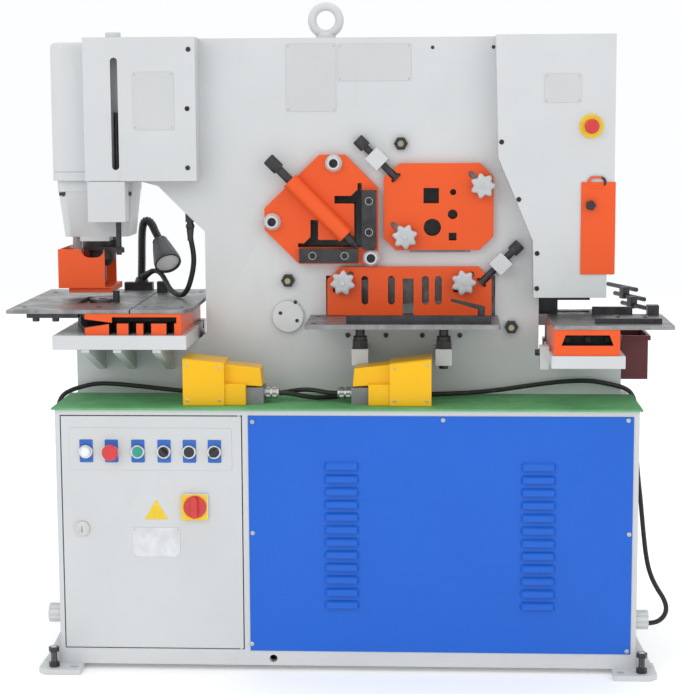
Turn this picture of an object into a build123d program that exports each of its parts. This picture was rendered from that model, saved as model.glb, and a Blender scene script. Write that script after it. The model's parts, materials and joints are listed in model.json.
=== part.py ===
from build123d import *
from math import pi, radians, sqrt, tan
import os

os.makedirs("parts", exist_ok=True)

# A hydraulic ironworker: a steel cabinet, two frame plates that stand on it with a shear
# arm between them, a punch at the left, angle, section and flat-bar shears in the middle
# and a notcher at the right. Millimetres, X to the right, Y to the back, Z up, with the
# origin on the floor in the middle of the four anchor holes.

# Base cabinet
CABINET_WIDTH = 1480.0
CABINET_DEPTH = 640.0
CABINET_TOP = 681.0
CABINET_WALL = 4.0
FOOT_THICKNESS = 14.0
FOOT_SIZE = 110.0
FOOT_OVERHANG = 50.0
ANCHOR_SPAN_X = CABINET_WIDTH - 80
ANCHOR_SPAN_Y = CABINET_DEPTH + 56
ANCHOR_RADIUS = 9.0
FRONT_FRAME_DEPTH = 24.0
DOOR_STOP = 3.0
DOOR_MARGIN = 15.0
DOOR_WIDTH = 461.0
DOOR_HEIGHT = 606.0
DOOR_TOP_BAND = 17.0
DOOR_GAP = 3.0
DOOR_DEPTH = 18.0
DOOR_SHEET = 2.0
POST_WIDTH = 18.0
PANEL_MARGIN = 14.0
PANEL_HEIGHT = 614.0
PANEL_SHEET = 2.0
PANEL_LAP = 14.0
MAT_THICKNESS = 5.0
MAT_OVERHANG = 8.0
STUB_RADIUS = 25.0
STUB_LENGTH = 32.0
STUB_HEIGHT = {-1: 141.0, 1: 136.0}
STUB_FROM_FRONT = 30.0

# Louvres in the blue panel
LOUVRE_WIDTH = 90.0
LOUVRE_HEIGHT = 20.0
LOUVRE_DEPTH = 9.0
LOUVRE_PITCH = 32.8
LOUVRE_ROWS = 12
LOUVRE_INSET = 237.0
LOUVRE_FIRST = 550.0

# Frame plates and what stands between them
PLATE_THICKNESS = 35.0
ARM_GAP = 80.0
FRAME_TOP = 1620.0
FRAME_LEFT = -729.0
FRAME_RIGHT = 717.0
THROAT_X = -380.0
JAW_UNDERSIDE = 1248.0
BED_SEAT = 832.0
NOTCH_THROAT_X = 500.0
NOTCH_SEAT = 789.0
NOTCH_JAW = 975.0
CYLINDER_SEAT = 1330.0
CYLINDER_RECESS_X = 500.0
SHOULDER_RIGHT = 660.0

# Shear arm, its pivot and its stroke
PIVOT_X = -161.0
PIVOT_Z = 892.0
PIVOT_RADIUS = 35.0
PIVOT_CAP_RADIUS = 42.0
ARM_THICKNESS = 50.0
ARM_SWING = 5.5
RUNNING = 0.05
BLADE_THICKNESS = 25.0
BLADE_CLEARANCE = 0.4

# Angle shear
ANGLE_X = 36.0
ANGLE_Z = 1076.0
ANGLE_LEG = 20.0
ANGLE_BLADE = 190.0
ANGLE_BLADE_EDGE = 18.0
ANGLE_WINDOW_EDGE = 8.0
TOOL_PLATE = 20.0
SPINDLE_TUBE_RADIUS = 22.5
SPINDLE_RADIUS = 11.5
SPINDLE_HEAD_RADIUS = 16.0

# Section shear and the hold-downs
SECTION_BLADE_X = (160.0, 320.0)
SECTION_BLADE_Z = (1062.0, 1262.0)
HOLD_ROD_RADIUS = 9.0
HOLD_DISC_RADIUS = 14.0
HOLD_DISC = 6.0
HOLD_DISC_CLEARANCE = 1.2
HOLD_AXIS_OUT = 15.0
HOLD_BLOCK = 43.0
STAR_RADIUS = 33.0
STUD_RADIUS = 6.0

# Flat-bar shear and its table
TABLE_Z = 896.0
TABLE_PLATE = 12.0
FLAT_X = (-60.0, 385.0)
FLAT_BLADE_HEIGHT = 60.0
FLAT_SKIN = 10.0
FLAT_WINDOW_TOP = 1000.0

# Punch
PUNCH_X = -670.0
RAM_RADIUS = 40.0
PISTON_RADIUS = 75.0
HEAD_WIDTH = 220.0
HEAD_DEPTH = 220.0
HEAD_BOTTOM = 1253.0
HEAD_TOP = 1612.0
PUNCH_STROKE = 46.0
PUNCH_RADIUS = 12.0
DIE_CLEARANCE = 0.6
BED_THICKNESS = 36.0
BED_X = (-745.0, -402.0)
BED_Y = (-305.0, 90.0)
BOLSTER_HEIGHT = 54.0
PUNCH_TABLE_PLATE = 10.0

# Notcher
NOTCH_BED_X = (518.0, 702.0)
NOTCH_BED_THICKNESS = 32.0
NOTCH_BOLSTER_HEIGHT = 66.0
NOTCH_TABLE_PLATE = 10.0
NOTCH_PUNCH_X = (503.0, 638.0)
NOTCH_PUNCH_DEPTH = 44.0
LINK_X = 590.0
LINK_Z = 1080.0
LINK_RADIUS = 15.0
SHEAR_ROD_RADIUS = 30.0
SHEAR_BORE = 55.0
SHEAR_CYLINDER_RADIUS = 75.0

# Sheet covers
COVER_SHEET = 2.0
COVER_FRONT = -147.0
LEFT_COVER_X = (-682.0, -390.0)
RIGHT_COVER_X = (381.0, 686.0)
RIGHT_COVER_BOTTOM = 949.0

# Push buttons on the door
BUTTON_Z = 574.0
BUTTON_STEPS = (64.0, 129.0, 197.0, 264.0, 329.0, 393.0)
BEZEL_RADIUS = 17.0
BEZEL_HEIGHT = 12.0
CAP_RADIUS = 13.0
CAP_GAP = 0.3
STEM_RADIUS = 8.0
BUTTON_TRAVEL = 5.0

# Foot pedals and their hoses
PEDAL_MOUTH_X = -416.0
PEDAL_LENGTH = 197.0
PEDAL_HOOD = 107.0
PEDAL_HEIGHT = 122.0
PEDAL_FRONT_Y = -287.0
PEDAL_WIDTH = 118.0
PEDAL_MIRROR_X = -98.5
HOSE_RADIUS = 6.0
LEAD_RADIUS = 7.0

# Derived places
FRONT = -CABINET_DEPTH / 2
LEFT = -CABINET_WIDTH / 2
RIGHT = CABINET_WIDTH / 2
DOOR_X = (LEFT + DOOR_MARGIN, LEFT + DOOR_MARGIN + DOOR_WIDTH)
DOOR_Z = (CABINET_TOP - DOOR_TOP_BAND - DOOR_HEIGHT, CABINET_TOP - DOOR_TOP_BAND)
PANEL_X = (DOOR_X[1] + POST_WIDTH, RIGHT - PANEL_MARGIN)
LOUVRE_COLUMNS = (PANEL_X[0] + LOUVRE_INSET, PANEL_X[1] - LOUVRE_INSET)
BUTTON_X = [DOOR_X[0] + step for step in BUTTON_STEPS]
JAW_LEFT = PUNCH_X + HEAD_WIDTH / 2
PANEL_Z = (CABINET_TOP - PANEL_MARGIN - PANEL_HEIGHT, CABINET_TOP - PANEL_MARGIN)
HALF_GAP = ARM_GAP / 2
PLATE_BACK = HALF_GAP
PLATE_FRONT = -HALF_GAP - PLATE_THICKNESS
REAR_FACE = HALF_GAP + PLATE_THICKNESS
MAT_TOP = CABINET_TOP + MAT_THICKNESS
TOOL_FRONT = PLATE_FRONT - TOOL_PLATE
ARM_FACE = -ARM_THICKNESS / 2
MOVING_FRONT = -HALF_GAP + BLADE_CLEARANCE
MOVING_BACK = MOVING_FRONT + BLADE_THICKNESS
BED_TOP = BED_SEAT + BED_THICKNESS
BOLSTER_TOP = BED_TOP + BOLSTER_HEIGHT
PUNCH_TABLE_TOP = BOLSTER_TOP + PUNCH_TABLE_PLATE
NOTCH_BED_TOP = NOTCH_SEAT + NOTCH_BED_THICKNESS
NOTCH_BOLSTER_TOP = NOTCH_BED_TOP + NOTCH_BOLSTER_HEIGHT
NOTCH_TABLE_TOP = NOTCH_BOLSTER_TOP + NOTCH_TABLE_PLATE


def facing(y):
    """A sketch plane at depth y that faces the front; its own axes are X and Z."""
    return Plane.XZ.offset(-y)


def block(x, y, z, mode=Mode.ADD):
    """A rectangular block between two limits along each axis."""
    with Locations(((x[0] + x[1]) / 2, (y[0] + y[1]) / 2, (z[0] + z[1]) / 2)):
        Box(x[1] - x[0], y[1] - y[0], z[1] - z[0], mode=mode)


# Cabinet: a welded sheet base with a folded front frame, foot plates and cable stubs
DOOR_HOLE = (DOOR_X[0] - DOOR_GAP, DOOR_X[1] + DOOR_GAP)
DOOR_HOLE_Z = (DOOR_Z[0] - DOOR_GAP, DOOR_Z[1] + DOOR_GAP)
PANEL_HOLE = (PANEL_X[0] + PANEL_LAP, PANEL_X[1] - PANEL_LAP)
PANEL_HOLE_Z = (PANEL_Z[0] + PANEL_LAP, PANEL_Z[1] - PANEL_LAP)
STOP_LAP = 12.0
HINGE_INSET = 6.0
HINGE_SETBACK = 5.0
HINGE_RADIUS = 4.0
HINGE_REACH = 12.0
HINGE_X = DOOR_X[1] - HINGE_INSET
HINGE_Y = FRONT + HINGE_SETBACK
DIVIDER_X = (DOOR_X[1] + PANEL_X[0]) / 2
INNER_Y = (FRONT + FRONT_FRAME_DEPTH, -FRONT - CABINET_WALL)
INNER_Z = (FOOT_THICKNESS + CABINET_WALL, CABINET_TOP - CABINET_WALL)
FOOT_X = CABINET_WIDTH / 2 + FOOT_OVERHANG - FOOT_SIZE / 2
FOOT_Y = CABINET_DEPTH / 2 + FOOT_OVERHANG + 5 - FOOT_SIZE / 2
LEVEL_X = CABINET_WIDTH / 2 + 12
LEVEL_Y = CABINET_DEPTH / 2 + 28
LEVEL_RADIUS = 8.0
GUSSET_HEIGHT = 86.0
GUSSET_THICKNESS = 8.0
DRAIN_RADIUS = 10.0
STUB_Y = FRONT + STUB_FROM_FRONT
ELBOW_X = LEFT - 15
ELBOW_Y = -20.0
ELBOW_TOP = 410.0
with BuildPart() as cabinet:
    block((LEFT, RIGHT), (FRONT, -FRONT), (FOOT_THICKNESS, CABINET_TOP))
    block((LEFT + CABINET_WALL, DIVIDER_X - CABINET_WALL / 2), INNER_Y, INNER_Z, Mode.SUBTRACT)
    block((DIVIDER_X + CABINET_WALL / 2, RIGHT - CABINET_WALL), INNER_Y, INNER_Z, Mode.SUBTRACT)
    # the door's recess, and a smaller way through behind its stop
    block(DOOR_HOLE, (FRONT, INNER_Y[0] - DOOR_STOP), DOOR_HOLE_Z, Mode.SUBTRACT)
    block((DOOR_HOLE[0] + STOP_LAP, DOOR_HOLE[1] - STOP_LAP), (FRONT, INNER_Y[0]),
          (DOOR_HOLE_Z[0] + STOP_LAP, DOOR_HOLE_Z[1] - STOP_LAP), Mode.SUBTRACT)
    block(PANEL_HOLE, (FRONT, INNER_Y[0]), PANEL_HOLE_Z, Mode.SUBTRACT)
    # hinge pins that stand in the top and bottom of the door's recess
    with Locations((HINGE_X, HINGE_Y, DOOR_HOLE_Z[0]), (HINGE_X, HINGE_Y, DOOR_HOLE_Z[1])):
        Cylinder(HINGE_RADIUS, 2 * HINGE_REACH)
    # drain hole in the bottom rail
    with BuildSketch(facing(INNER_Y[0])):
        with Locations((PANEL_X[0] + 59, PANEL_Z[0] - 21)):
            Circle(DRAIN_RADIUS)
    extrude(amount=FRONT_FRAME_DEPTH, mode=Mode.SUBTRACT)
    # foot plates with clipped outer corners, and their gussets
    with BuildSketch() as feet:
        with GridLocations(2 * FOOT_X, 2 * FOOT_Y, 2, 2):
            Rectangle(FOOT_SIZE, FOOT_SIZE)
        corner_reach = (FOOT_X + FOOT_Y) + FOOT_SIZE - 36
        chamfer([v for v in feet.vertices() if abs(v.X) + abs(v.Y) > corner_reach], 18)
        with GridLocations(ANCHOR_SPAN_X, ANCHOR_SPAN_Y, 2, 2):
            Circle(ANCHOR_RADIUS, mode=Mode.SUBTRACT)
        with GridLocations(2 * LEVEL_X, 2 * LEVEL_Y, 2, 2):
            Circle(LEVEL_RADIUS, mode=Mode.SUBTRACT)
    extrude(amount=FOOT_THICKNESS)
    for side in (-1, 1):
        edge = side * CABINET_WIDTH / 2
        for gusset_y in (FRONT + 24, -FRONT - 24 + GUSSET_THICKNESS):
            with BuildSketch(facing(gusset_y)):
                Polygon((edge, FOOT_THICKNESS), (edge + side * (FOOT_OVERHANG - 4), FOOT_THICKNESS),
                        (edge, FOOT_THICKNESS + GUSSET_HEIGHT), align=None)
            extrude(amount=GUSSET_THICKNESS)
    # fluted stubs where the hoses enter
    for side in (-1, 1):
        with BuildSketch(Plane.YZ.offset(side * CABINET_WIDTH / 2)):
            with Locations((STUB_Y, STUB_HEIGHT[side])):
                Circle(STUB_RADIUS)
                with PolarLocations(STUB_RADIUS, 10):
                    Circle(2.5, mode=Mode.SUBTRACT)
        extrude(amount=side * STUB_LENGTH)
    # elbow fitting on the left wall for the other hose
    block((LEFT - 28, LEFT), (ELBOW_Y - 14, ELBOW_Y + 14), (ELBOW_TOP - 44, ELBOW_TOP - 16))
    with BuildSketch(Plane.XY.offset(ELBOW_TOP - 16)):
        with Locations((ELBOW_X, ELBOW_Y)):
            RegularPolygon(11, 6, major_radius=False)
    extrude(amount=16)
cabinet.part.label = "cabinet"
export_step(cabinet.part, "parts/cabinet.step")

# Blue panel with two columns of pressed louvres, open downwards
LOUVRE_SHEET = 1.2
LOUVRE_SLANT = 35.0
PANEL_FACE = FRONT - PANEL_SHEET
with BuildPart() as louvre:
    with BuildSketch(facing(PANEL_FACE)):
        with Locations((0, -LOUVRE_HEIGHT / 2)):
            RectangleRounded(LOUVRE_WIDTH, 2 * LOUVRE_HEIGHT, 9)
    extrude(amount=LOUVRE_DEPTH, taper=LOUVRE_SLANT)
    with BuildSketch(facing(PANEL_FACE)):
        with Locations((0, -LOUVRE_HEIGHT / 2)):
            RectangleRounded(LOUVRE_WIDTH - 3, 2 * LOUVRE_HEIGHT - 3, 7.5)
    extrude(amount=LOUVRE_DEPTH - LOUVRE_SHEET, taper=LOUVRE_SLANT, mode=Mode.SUBTRACT)
    block((-LOUVRE_WIDTH, LOUVRE_WIDTH), (PANEL_FACE - 2 * LOUVRE_DEPTH, PANEL_FACE + 1),
          (-2 * LOUVRE_HEIGHT, -LOUVRE_HEIGHT / 2), Mode.SUBTRACT)
louvre_places = [(x, 0, LOUVRE_FIRST - LOUVRE_HEIGHT / 2 - row * LOUVRE_PITCH)
                 for x in LOUVRE_COLUMNS for row in range(LOUVRE_ROWS)]
with BuildPart() as blue_panel:
    block(PANEL_X, (PANEL_FACE, FRONT), PANEL_Z)
    with BuildSketch(facing(FRONT)):
        with Locations(*[(x, z - LOUVRE_HEIGHT / 2 + 4) for x, _, z in louvre_places]):
            Rectangle(LOUVRE_WIDTH - 12, 8)
    extrude(amount=PANEL_SHEET, mode=Mode.SUBTRACT)
    with Locations(*louvre_places):
        add(louvre.part)
blue_panel.part.label = "blue_panel"
export_step(blue_panel.part, "parts/blue_panel.step")

# Green rubber mat on the front half of the cabinet's top
with BuildPart() as rubber_mat:
    block((LEFT - MAT_OVERHANG, RIGHT + MAT_OVERHANG), (FRONT - MAT_OVERHANG, PLATE_FRONT - 1),
          (CABINET_TOP, MAT_TOP))
rubber_mat.part.label = "rubber_mat"
export_step(rubber_mat.part, "parts/rubber_mat.step")

# Outline that both frame plates share: punch throat at the left, notcher throat at the right
frame_outline = [
    (FRAME_LEFT, CABINET_TOP), (FRAME_LEFT, BED_SEAT), (THROAT_X - 18, BED_SEAT),
    (THROAT_X, BED_SEAT + 18), (THROAT_X, JAW_UNDERSIDE - 131), (THROAT_X - 45, JAW_UNDERSIDE - 88),
    (THROAT_X - 122, JAW_UNDERSIDE - 11), (THROAT_X - 162, JAW_UNDERSIDE), (JAW_LEFT, JAW_UNDERSIDE),
    (JAW_LEFT, FRAME_TOP), (CYLINDER_RECESS_X, FRAME_TOP), (CYLINDER_RECESS_X, CYLINDER_SEAT),
    (SHOULDER_RIGHT, CYLINDER_SEAT), (SHOULDER_RIGHT, NOTCH_JAW), (NOTCH_THROAT_X, NOTCH_JAW),
    (NOTCH_THROAT_X, NOTCH_SEAT), (FRAME_RIGHT, NOTCH_SEAT), (FRAME_RIGHT, CABINET_TOP),
]
GUIDE_STUDS = ((138.0, 1346.0), (-160.0, 988.0), (428.0, 865.0))
GUIDE_STUD_RADIUS = 8.0
ANGLE_BOLTS = ((-37.0, 1296.0), (-199.0, 1144.0), (60.0, 1049.0))
ANGLE_BOLT_RADIUS = 10.0
ANGLE_BOLT_DEPTH = 30.0
SECTION_STUDS = ((351.0, 1237.0), (149.0, 1105.0))
FLAT_STUDS = ((-14.0, 985.0), (302.0, 985.0))
SECTION_SCREW = (125.0, 1258.0)
FLAT_SCREW = (349.0, 984.0)
BLOCK_DISTANCE = 70.0
HOLD_AXIS_Y = PLATE_FRONT - HOLD_AXIS_OUT
JACK_X = (33.0, 250.0)
JACK_BLOCK_Z = (776.0, 819.0)
JACK_Y = -163.0
JACK_RADIUS = 12.0
SECTION_BLOCK = (SECTION_SCREW[0] - BLOCK_DISTANCE / sqrt(2), SECTION_SCREW[1] + BLOCK_DISTANCE / sqrt(2))
FLAT_BLOCK = (FLAT_SCREW[0] + BLOCK_DISTANCE / sqrt(2), FLAT_SCREW[1] + BLOCK_DISTANCE / sqrt(2))
ANGLE_SQUARE = (ANGLE_X + ANGLE_BLADE_EDGE - ANGLE_BLADE / 2, ANGLE_Z - ANGLE_BLADE_EDGE + ANGLE_BLADE / 2)
SECTION_CENTRE = (sum(SECTION_BLADE_X) / 2, sum(SECTION_BLADE_Z) / 2)
SECTION_SIZE = (SECTION_BLADE_X[1] - SECTION_BLADE_X[0], SECTION_BLADE_Z[1] - SECTION_BLADE_Z[0])
FLAT_BASE = TABLE_Z - FLAT_BLADE_HEIGHT
FLAT_POCKET = PLATE_FRONT + FLAT_SKIN
with BuildPart() as frame_plate_front:
    with BuildSketch(facing(-HALF_GAP)):
        Polygon(*frame_outline, align=None)
        with Locations((PIVOT_X, PIVOT_Z)):
            Circle(PIVOT_RADIUS, mode=Mode.SUBTRACT)
        with Locations(ANGLE_SQUARE):
            Rectangle(ANGLE_BLADE, ANGLE_BLADE, mode=Mode.SUBTRACT)
        with Locations(SECTION_CENTRE):
            Rectangle(*SECTION_SIZE, mode=Mode.SUBTRACT)
        with Locations((sum(FLAT_X) / 2, (TABLE_Z + FLAT_WINDOW_TOP) / 2)):
            Rectangle(FLAT_X[1] - FLAT_X[0], FLAT_WINDOW_TOP - TABLE_Z, mode=Mode.SUBTRACT)
        with Locations(*GUIDE_STUDS):
            Circle(GUIDE_STUD_RADIUS, mode=Mode.SUBTRACT)
    extrude(amount=PLATE_THICKNESS)
    block(FLAT_X, (FLAT_POCKET, -HALF_GAP), (FLAT_BASE, TABLE_Z + 1), Mode.SUBTRACT)
    with BuildSketch(facing(PLATE_FRONT)):
        with Locations(*ANGLE_BOLTS):
            Circle(ANGLE_BOLT_RADIUS)
        with Locations(*SECTION_STUDS, *FLAT_STUDS):
            Circle(STUD_RADIUS)
    extrude(amount=-ANGLE_BOLT_DEPTH, mode=Mode.SUBTRACT)
    # the two square nuts for the hold-down screws, turned to their screws
    with BuildSketch(facing(PLATE_FRONT)):
        with Locations(SECTION_BLOCK, FLAT_BLOCK):
            Rectangle(HOLD_BLOCK, HOLD_BLOCK, rotation=45)
    extrude(amount=HOLD_BLOCK - 7)
    for at, tilt in ((SECTION_BLOCK, -45), (FLAT_BLOCK, 45)):
        with Locations(Location((at[0], HOLD_AXIS_Y, at[1]), (0, 90 - tilt, 0))):
            Cylinder(HOLD_ROD_RADIUS + RUNNING, HOLD_BLOCK + 4, mode=Mode.SUBTRACT)
    # brackets under the flat-bar table
    for x in JACK_X:
        block((x - HOLD_BLOCK / 2, x + HOLD_BLOCK / 2), (JACK_Y - HOLD_BLOCK / 2, PLATE_FRONT), JACK_BLOCK_Z)
    with BuildSketch(Plane.XY.offset(JACK_BLOCK_Z[0])):
        with Locations(*[(x, JACK_Y) for x in JACK_X]):
            Circle(JACK_RADIUS)
    extrude(amount=JACK_BLOCK_Z[1] - JACK_BLOCK_Z[0], mode=Mode.SUBTRACT)
frame_plate_front.part.label = "frame_plate_front"
export_step(frame_plate_front.part, "parts/frame_plate_front.step")

# Rear frame plate with the welded spacer blocks that hold the two plates apart
BACK_WINDOW = ANGLE_BLADE - 2 * (ANGLE_BLADE_EDGE - ANGLE_WINDOW_EDGE) + 10
ANGLE_WINDOW = (ANGLE_X + ANGLE_WINDOW_EDGE - BACK_WINDOW / 2, ANGLE_Z - ANGLE_WINDOW_EDGE + BACK_WINDOW / 2)
SECTION_WINDOW_X = (188.0, 296.0)
SECTION_WINDOW_Z = (1085.0, 1240.0)
SECTION_WINDOW = ((SECTION_WINDOW_X[0] + SECTION_WINDOW_X[1]) / 2, (SECTION_WINDOW_Z[0] + SECTION_WINDOW_Z[1]) / 2)
SECTION_WINDOW_SIZE = (SECTION_WINDOW_X[1] - SECTION_WINDOW_X[0], SECTION_WINDOW_Z[1] - SECTION_WINDOW_Z[0])
SPACER = 60.0
REAR_GUARD_X = (-150.0, 400.0)
REAR_GUARD_STEP = (-100.0, 1015.0)
REAR_GUARD_Z = (850.0, 1262.0)
REAR_GUARD_BACK = 200.0


def rear_guard_outline(wall):
    """Outline of the rear guard, moved inwards by the wall except at its open bottom."""
    left, right = REAR_GUARD_X[0] + wall, REAR_GUARD_X[1] - wall
    top, low = REAR_GUARD_Z[1] - wall, REAR_GUARD_Z[0] - wall
    step = (REAR_GUARD_STEP[0] + wall, REAR_GUARD_STEP[1] + wall)
    return [(left, top), (right, top), (right, low), (step[0], low), step, (left, step[1])]


with BuildPart() as frame_plate_rear:
    with BuildSketch(facing(REAR_FACE)):
        Polygon(*frame_outline, align=None)
        with Locations((PIVOT_X, PIVOT_Z)):
            Circle(PIVOT_RADIUS, mode=Mode.SUBTRACT)
        with Locations(ANGLE_WINDOW):
            Rectangle(BACK_WINDOW, BACK_WINDOW, mode=Mode.SUBTRACT)
        with Locations(SECTION_WINDOW):
            Rectangle(*SECTION_WINDOW_SIZE, mode=Mode.SUBTRACT)
        with Locations((sum(FLAT_X) / 2, TABLE_Z + 24)):
            Rectangle(FLAT_X[1] - FLAT_X[0] + 20, 72, mode=Mode.SUBTRACT)
        with Locations(*GUIDE_STUDS):
            Circle(GUIDE_STUD_RADIUS, mode=Mode.SUBTRACT)
    extrude(amount=PLATE_THICKNESS)
    # sheet guard round the shears' way out, open at the bottom for the pieces cut off
    with BuildSketch(facing(REAR_GUARD_BACK)):
        Polygon(*rear_guard_outline(0), align=None)
    extrude(amount=REAR_GUARD_BACK - REAR_FACE)
    with BuildSketch(facing(REAR_GUARD_BACK - COVER_SHEET)):
        Polygon(*rear_guard_outline(COVER_SHEET), align=None)
    extrude(amount=REAR_GUARD_BACK - COVER_SHEET - REAR_FACE, mode=Mode.SUBTRACT)
    inner = (-HALF_GAP, HALF_GAP)
    block((JAW_LEFT, JAW_LEFT + SPACER), inner, (JAW_UNDERSIDE, FRAME_TOP))
    block((JAW_LEFT + SPACER, CYLINDER_RECESS_X), inner, (FRAME_TOP - SPACER, FRAME_TOP))
    block((FRAME_LEFT, FRAME_RIGHT), inner, (CABINET_TOP, CABINET_TOP + SPACER))
    block((FRAME_LEFT, THROAT_X - 40), inner, (CABINET_TOP + SPACER, BED_SEAT))
frame_plate_rear.part.label = "frame_plate_rear"
export_step(frame_plate_rear.part, "parts/frame_plate_rear.step")

# Pivot shaft of the shear arm, with a cap disc at each end
CAP_THICKNESS = 12.0
with BuildPart() as pivot_shaft:
    with BuildSketch(facing(REAR_FACE)):
        with Locations((PIVOT_X, PIVOT_Z)):
            Circle(PIVOT_RADIUS)
    extrude(amount=REAR_FACE - PLATE_FRONT)
    with BuildSketch(facing(PLATE_FRONT), facing(REAR_FACE + CAP_THICKNESS)):
        with Locations((PIVOT_X, PIVOT_Z)):
            Circle(PIVOT_CAP_RADIUS)
    extrude(amount=CAP_THICKNESS)
    chamfer(pivot_shaft.faces().sort_by(Axis.Y)[0].edges(), 2)
pivot_shaft.part.label = "pivot_shaft"
export_step(pivot_shaft.part, "parts/pivot_shaft.step")

# Shear arm: one steel plate that swings on the pivot between the frame plates
RAKE = tan(radians(ARM_SWING))


def blade_edge(x):
    """Height of the flat blade's cutting edge, a straight line raked up from the pivot."""
    return PIVOT_Z + (x - PIVOT_X) * RAKE


ARM_RELIEF = 5.0
FLAT_BLADE_TALL = 75.0
arm_outline = [
    (PIVOT_X - 80, PIVOT_Z - 60), (PIVOT_X + 55, PIVOT_Z - 60), (FLAT_X[0] - 14, blade_edge(FLAT_X[0]) + ARM_RELIEF),
    (FLAT_X[1], blade_edge(FLAT_X[1]) + ARM_RELIEF), (NOTCH_THROAT_X, 985), (LINK_X + 40, 1012),
    (LINK_X + 40, 1184), (460, 1176), (330, 1372), (-60, 1372), (-205, 1240), (PIVOT_X - 100, PIVOT_Z + 10),
]
flat_blade_outline = [
    (FLAT_X[0], blade_edge(FLAT_X[0])), (FLAT_X[1], blade_edge(FLAT_X[1])),
    (FLAT_X[1], blade_edge(FLAT_X[1]) + FLAT_BLADE_TALL), (FLAT_X[0], blade_edge(FLAT_X[0]) + FLAT_BLADE_TALL),
]
with BuildPart() as shear_arm:
    with BuildSketch(facing(-ARM_FACE)) as arm_shape:
        Polygon(*arm_outline, align=None)
        fillet(arm_shape.vertices().group_by(Axis.X)[0], 30)
        with Locations((PIVOT_X, PIVOT_Z)):
            Circle(PIVOT_RADIUS + RUNNING, mode=Mode.SUBTRACT)
        with Locations(ANGLE_WINDOW):
            Rectangle(BACK_WINDOW, BACK_WINDOW, mode=Mode.SUBTRACT)
        with Locations(SECTION_WINDOW):
            Rectangle(*SECTION_WINDOW_SIZE, mode=Mode.SUBTRACT)
        with Locations((LINK_X - 8, LINK_Z)):
            SlotOverall(78, 2 * LINK_RADIUS + 8, mode=Mode.SUBTRACT)
    extrude(amount=ARM_THICKNESS)
    with BuildSketch(facing(MOVING_BACK)):
        with Locations(ANGLE_SQUARE):
            Rectangle(ANGLE_BLADE, ANGLE_BLADE)
        with Locations(SECTION_CENTRE):
            Rectangle(*SECTION_SIZE)
        Polygon(*flat_blade_outline, align=None)
    extrude(amount=BLADE_THICKNESS, mode=Mode.SUBTRACT)
shear_arm.part.label = "shear_arm"
export_step(shear_arm.part, "parts/shear_arm.step")

# Hole for angle bar: two legs from one corner, each with a cross arm and a narrow end
LEG_END = 141.0
NARROW = 11.0
NARROW_END = 168.0
CROSS_AT = 115.0
CROSS_REACH = 72.0


def angle_hole():
    """Outline of the angle hole, the same on both sides of its diagonal."""
    leg, far = ANGLE_LEG, CROSS_AT + ANGLE_LEG
    half = [(0, NARROW_END), (NARROW, NARROW_END), (NARROW, LEG_END + NARROW), (far - CROSS_AT + 8, far),
            (CROSS_REACH, far), (CROSS_REACH, CROSS_AT), (leg, CROSS_AT), (leg, leg)]
    ring = [(0, 0)] + half + [(v, u) for u, v in reversed(half[:-1])]
    return [(ANGLE_X - u, ANGLE_Z + v) for u, v in ring]


def section_holes():
    """Square and round holes for bars, cut from the sketch that is open."""
    x, z = SECTION_CENTRE
    with Locations((x - 23, z + 49)):
        Rectangle(40, 40, mode=Mode.SUBTRACT)
    with Locations((x + 33, z - 58)):
        Rectangle(20, 20, mode=Mode.SUBTRACT)
    for at, radius in (((x + 34, z + 58), 8), ((x + 33, z), 12.5), ((x - 20, z - 34), 22.5)):
        with Locations(at):
            Circle(radius, mode=Mode.SUBTRACT)


# Steel tools that stand still: angle, section and flat blades, the notch die and the punch die
DIE_RADIUS = 35.0
DIE_DEPTH = 20.0
DIE_BORE = PUNCH_RADIUS + DIE_CLEARANCE
NOTCH_DIE_X = (500.5, 690.0)
NOTCH_DIE_Y = 57.0
NOTCH_DIE_HEIGHT = 30.0
NOTCH_CLEARANCE = 1.5
NOTCH_HOLE_X = (NOTCH_PUNCH_X[0] - NOTCH_CLEARANCE, NOTCH_PUNCH_X[1] + NOTCH_CLEARANCE)
NOTCH_HOLE_Y = NOTCH_PUNCH_DEPTH / 2 + NOTCH_CLEARANCE
with BuildPart() as fixed_tooling:
    with BuildSketch(facing(-HALF_GAP)):
        with Locations(ANGLE_SQUARE):
            Rectangle(ANGLE_BLADE, ANGLE_BLADE)
        Polygon(*angle_hole(), align=None, mode=Mode.SUBTRACT)
    extrude(amount=PLATE_THICKNESS)
    with BuildSketch(facing(-HALF_GAP)):
        with Locations(SECTION_CENTRE):
            Rectangle(*SECTION_SIZE)
        section_holes()
    extrude(amount=PLATE_THICKNESS)
    block(FLAT_X, (FLAT_POCKET, -HALF_GAP), (FLAT_BASE, TABLE_Z))
    block(NOTCH_DIE_X, (-NOTCH_DIE_Y, NOTCH_DIE_Y), (NOTCH_TABLE_TOP - NOTCH_DIE_HEIGHT, NOTCH_TABLE_TOP))
    block((NOTCH_DIE_X[0] - 1, NOTCH_HOLE_X[1]), (-NOTCH_HOLE_Y, NOTCH_HOLE_Y),
          (NOTCH_TABLE_TOP - NOTCH_DIE_HEIGHT - 1, NOTCH_TABLE_TOP + 1), Mode.SUBTRACT)
    with BuildSketch(Plane.XY.offset(PUNCH_TABLE_TOP)):
        with Locations((PUNCH_X, 0)):
            Circle(DIE_RADIUS)
            Circle(DIE_BORE, mode=Mode.SUBTRACT)
    extrude(amount=-PUNCH_TABLE_PLATE - DIE_DEPTH)
fixed_tooling.part.label = "fixed_tooling"
export_step(fixed_tooling.part, "parts/fixed_tooling.step")

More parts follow.
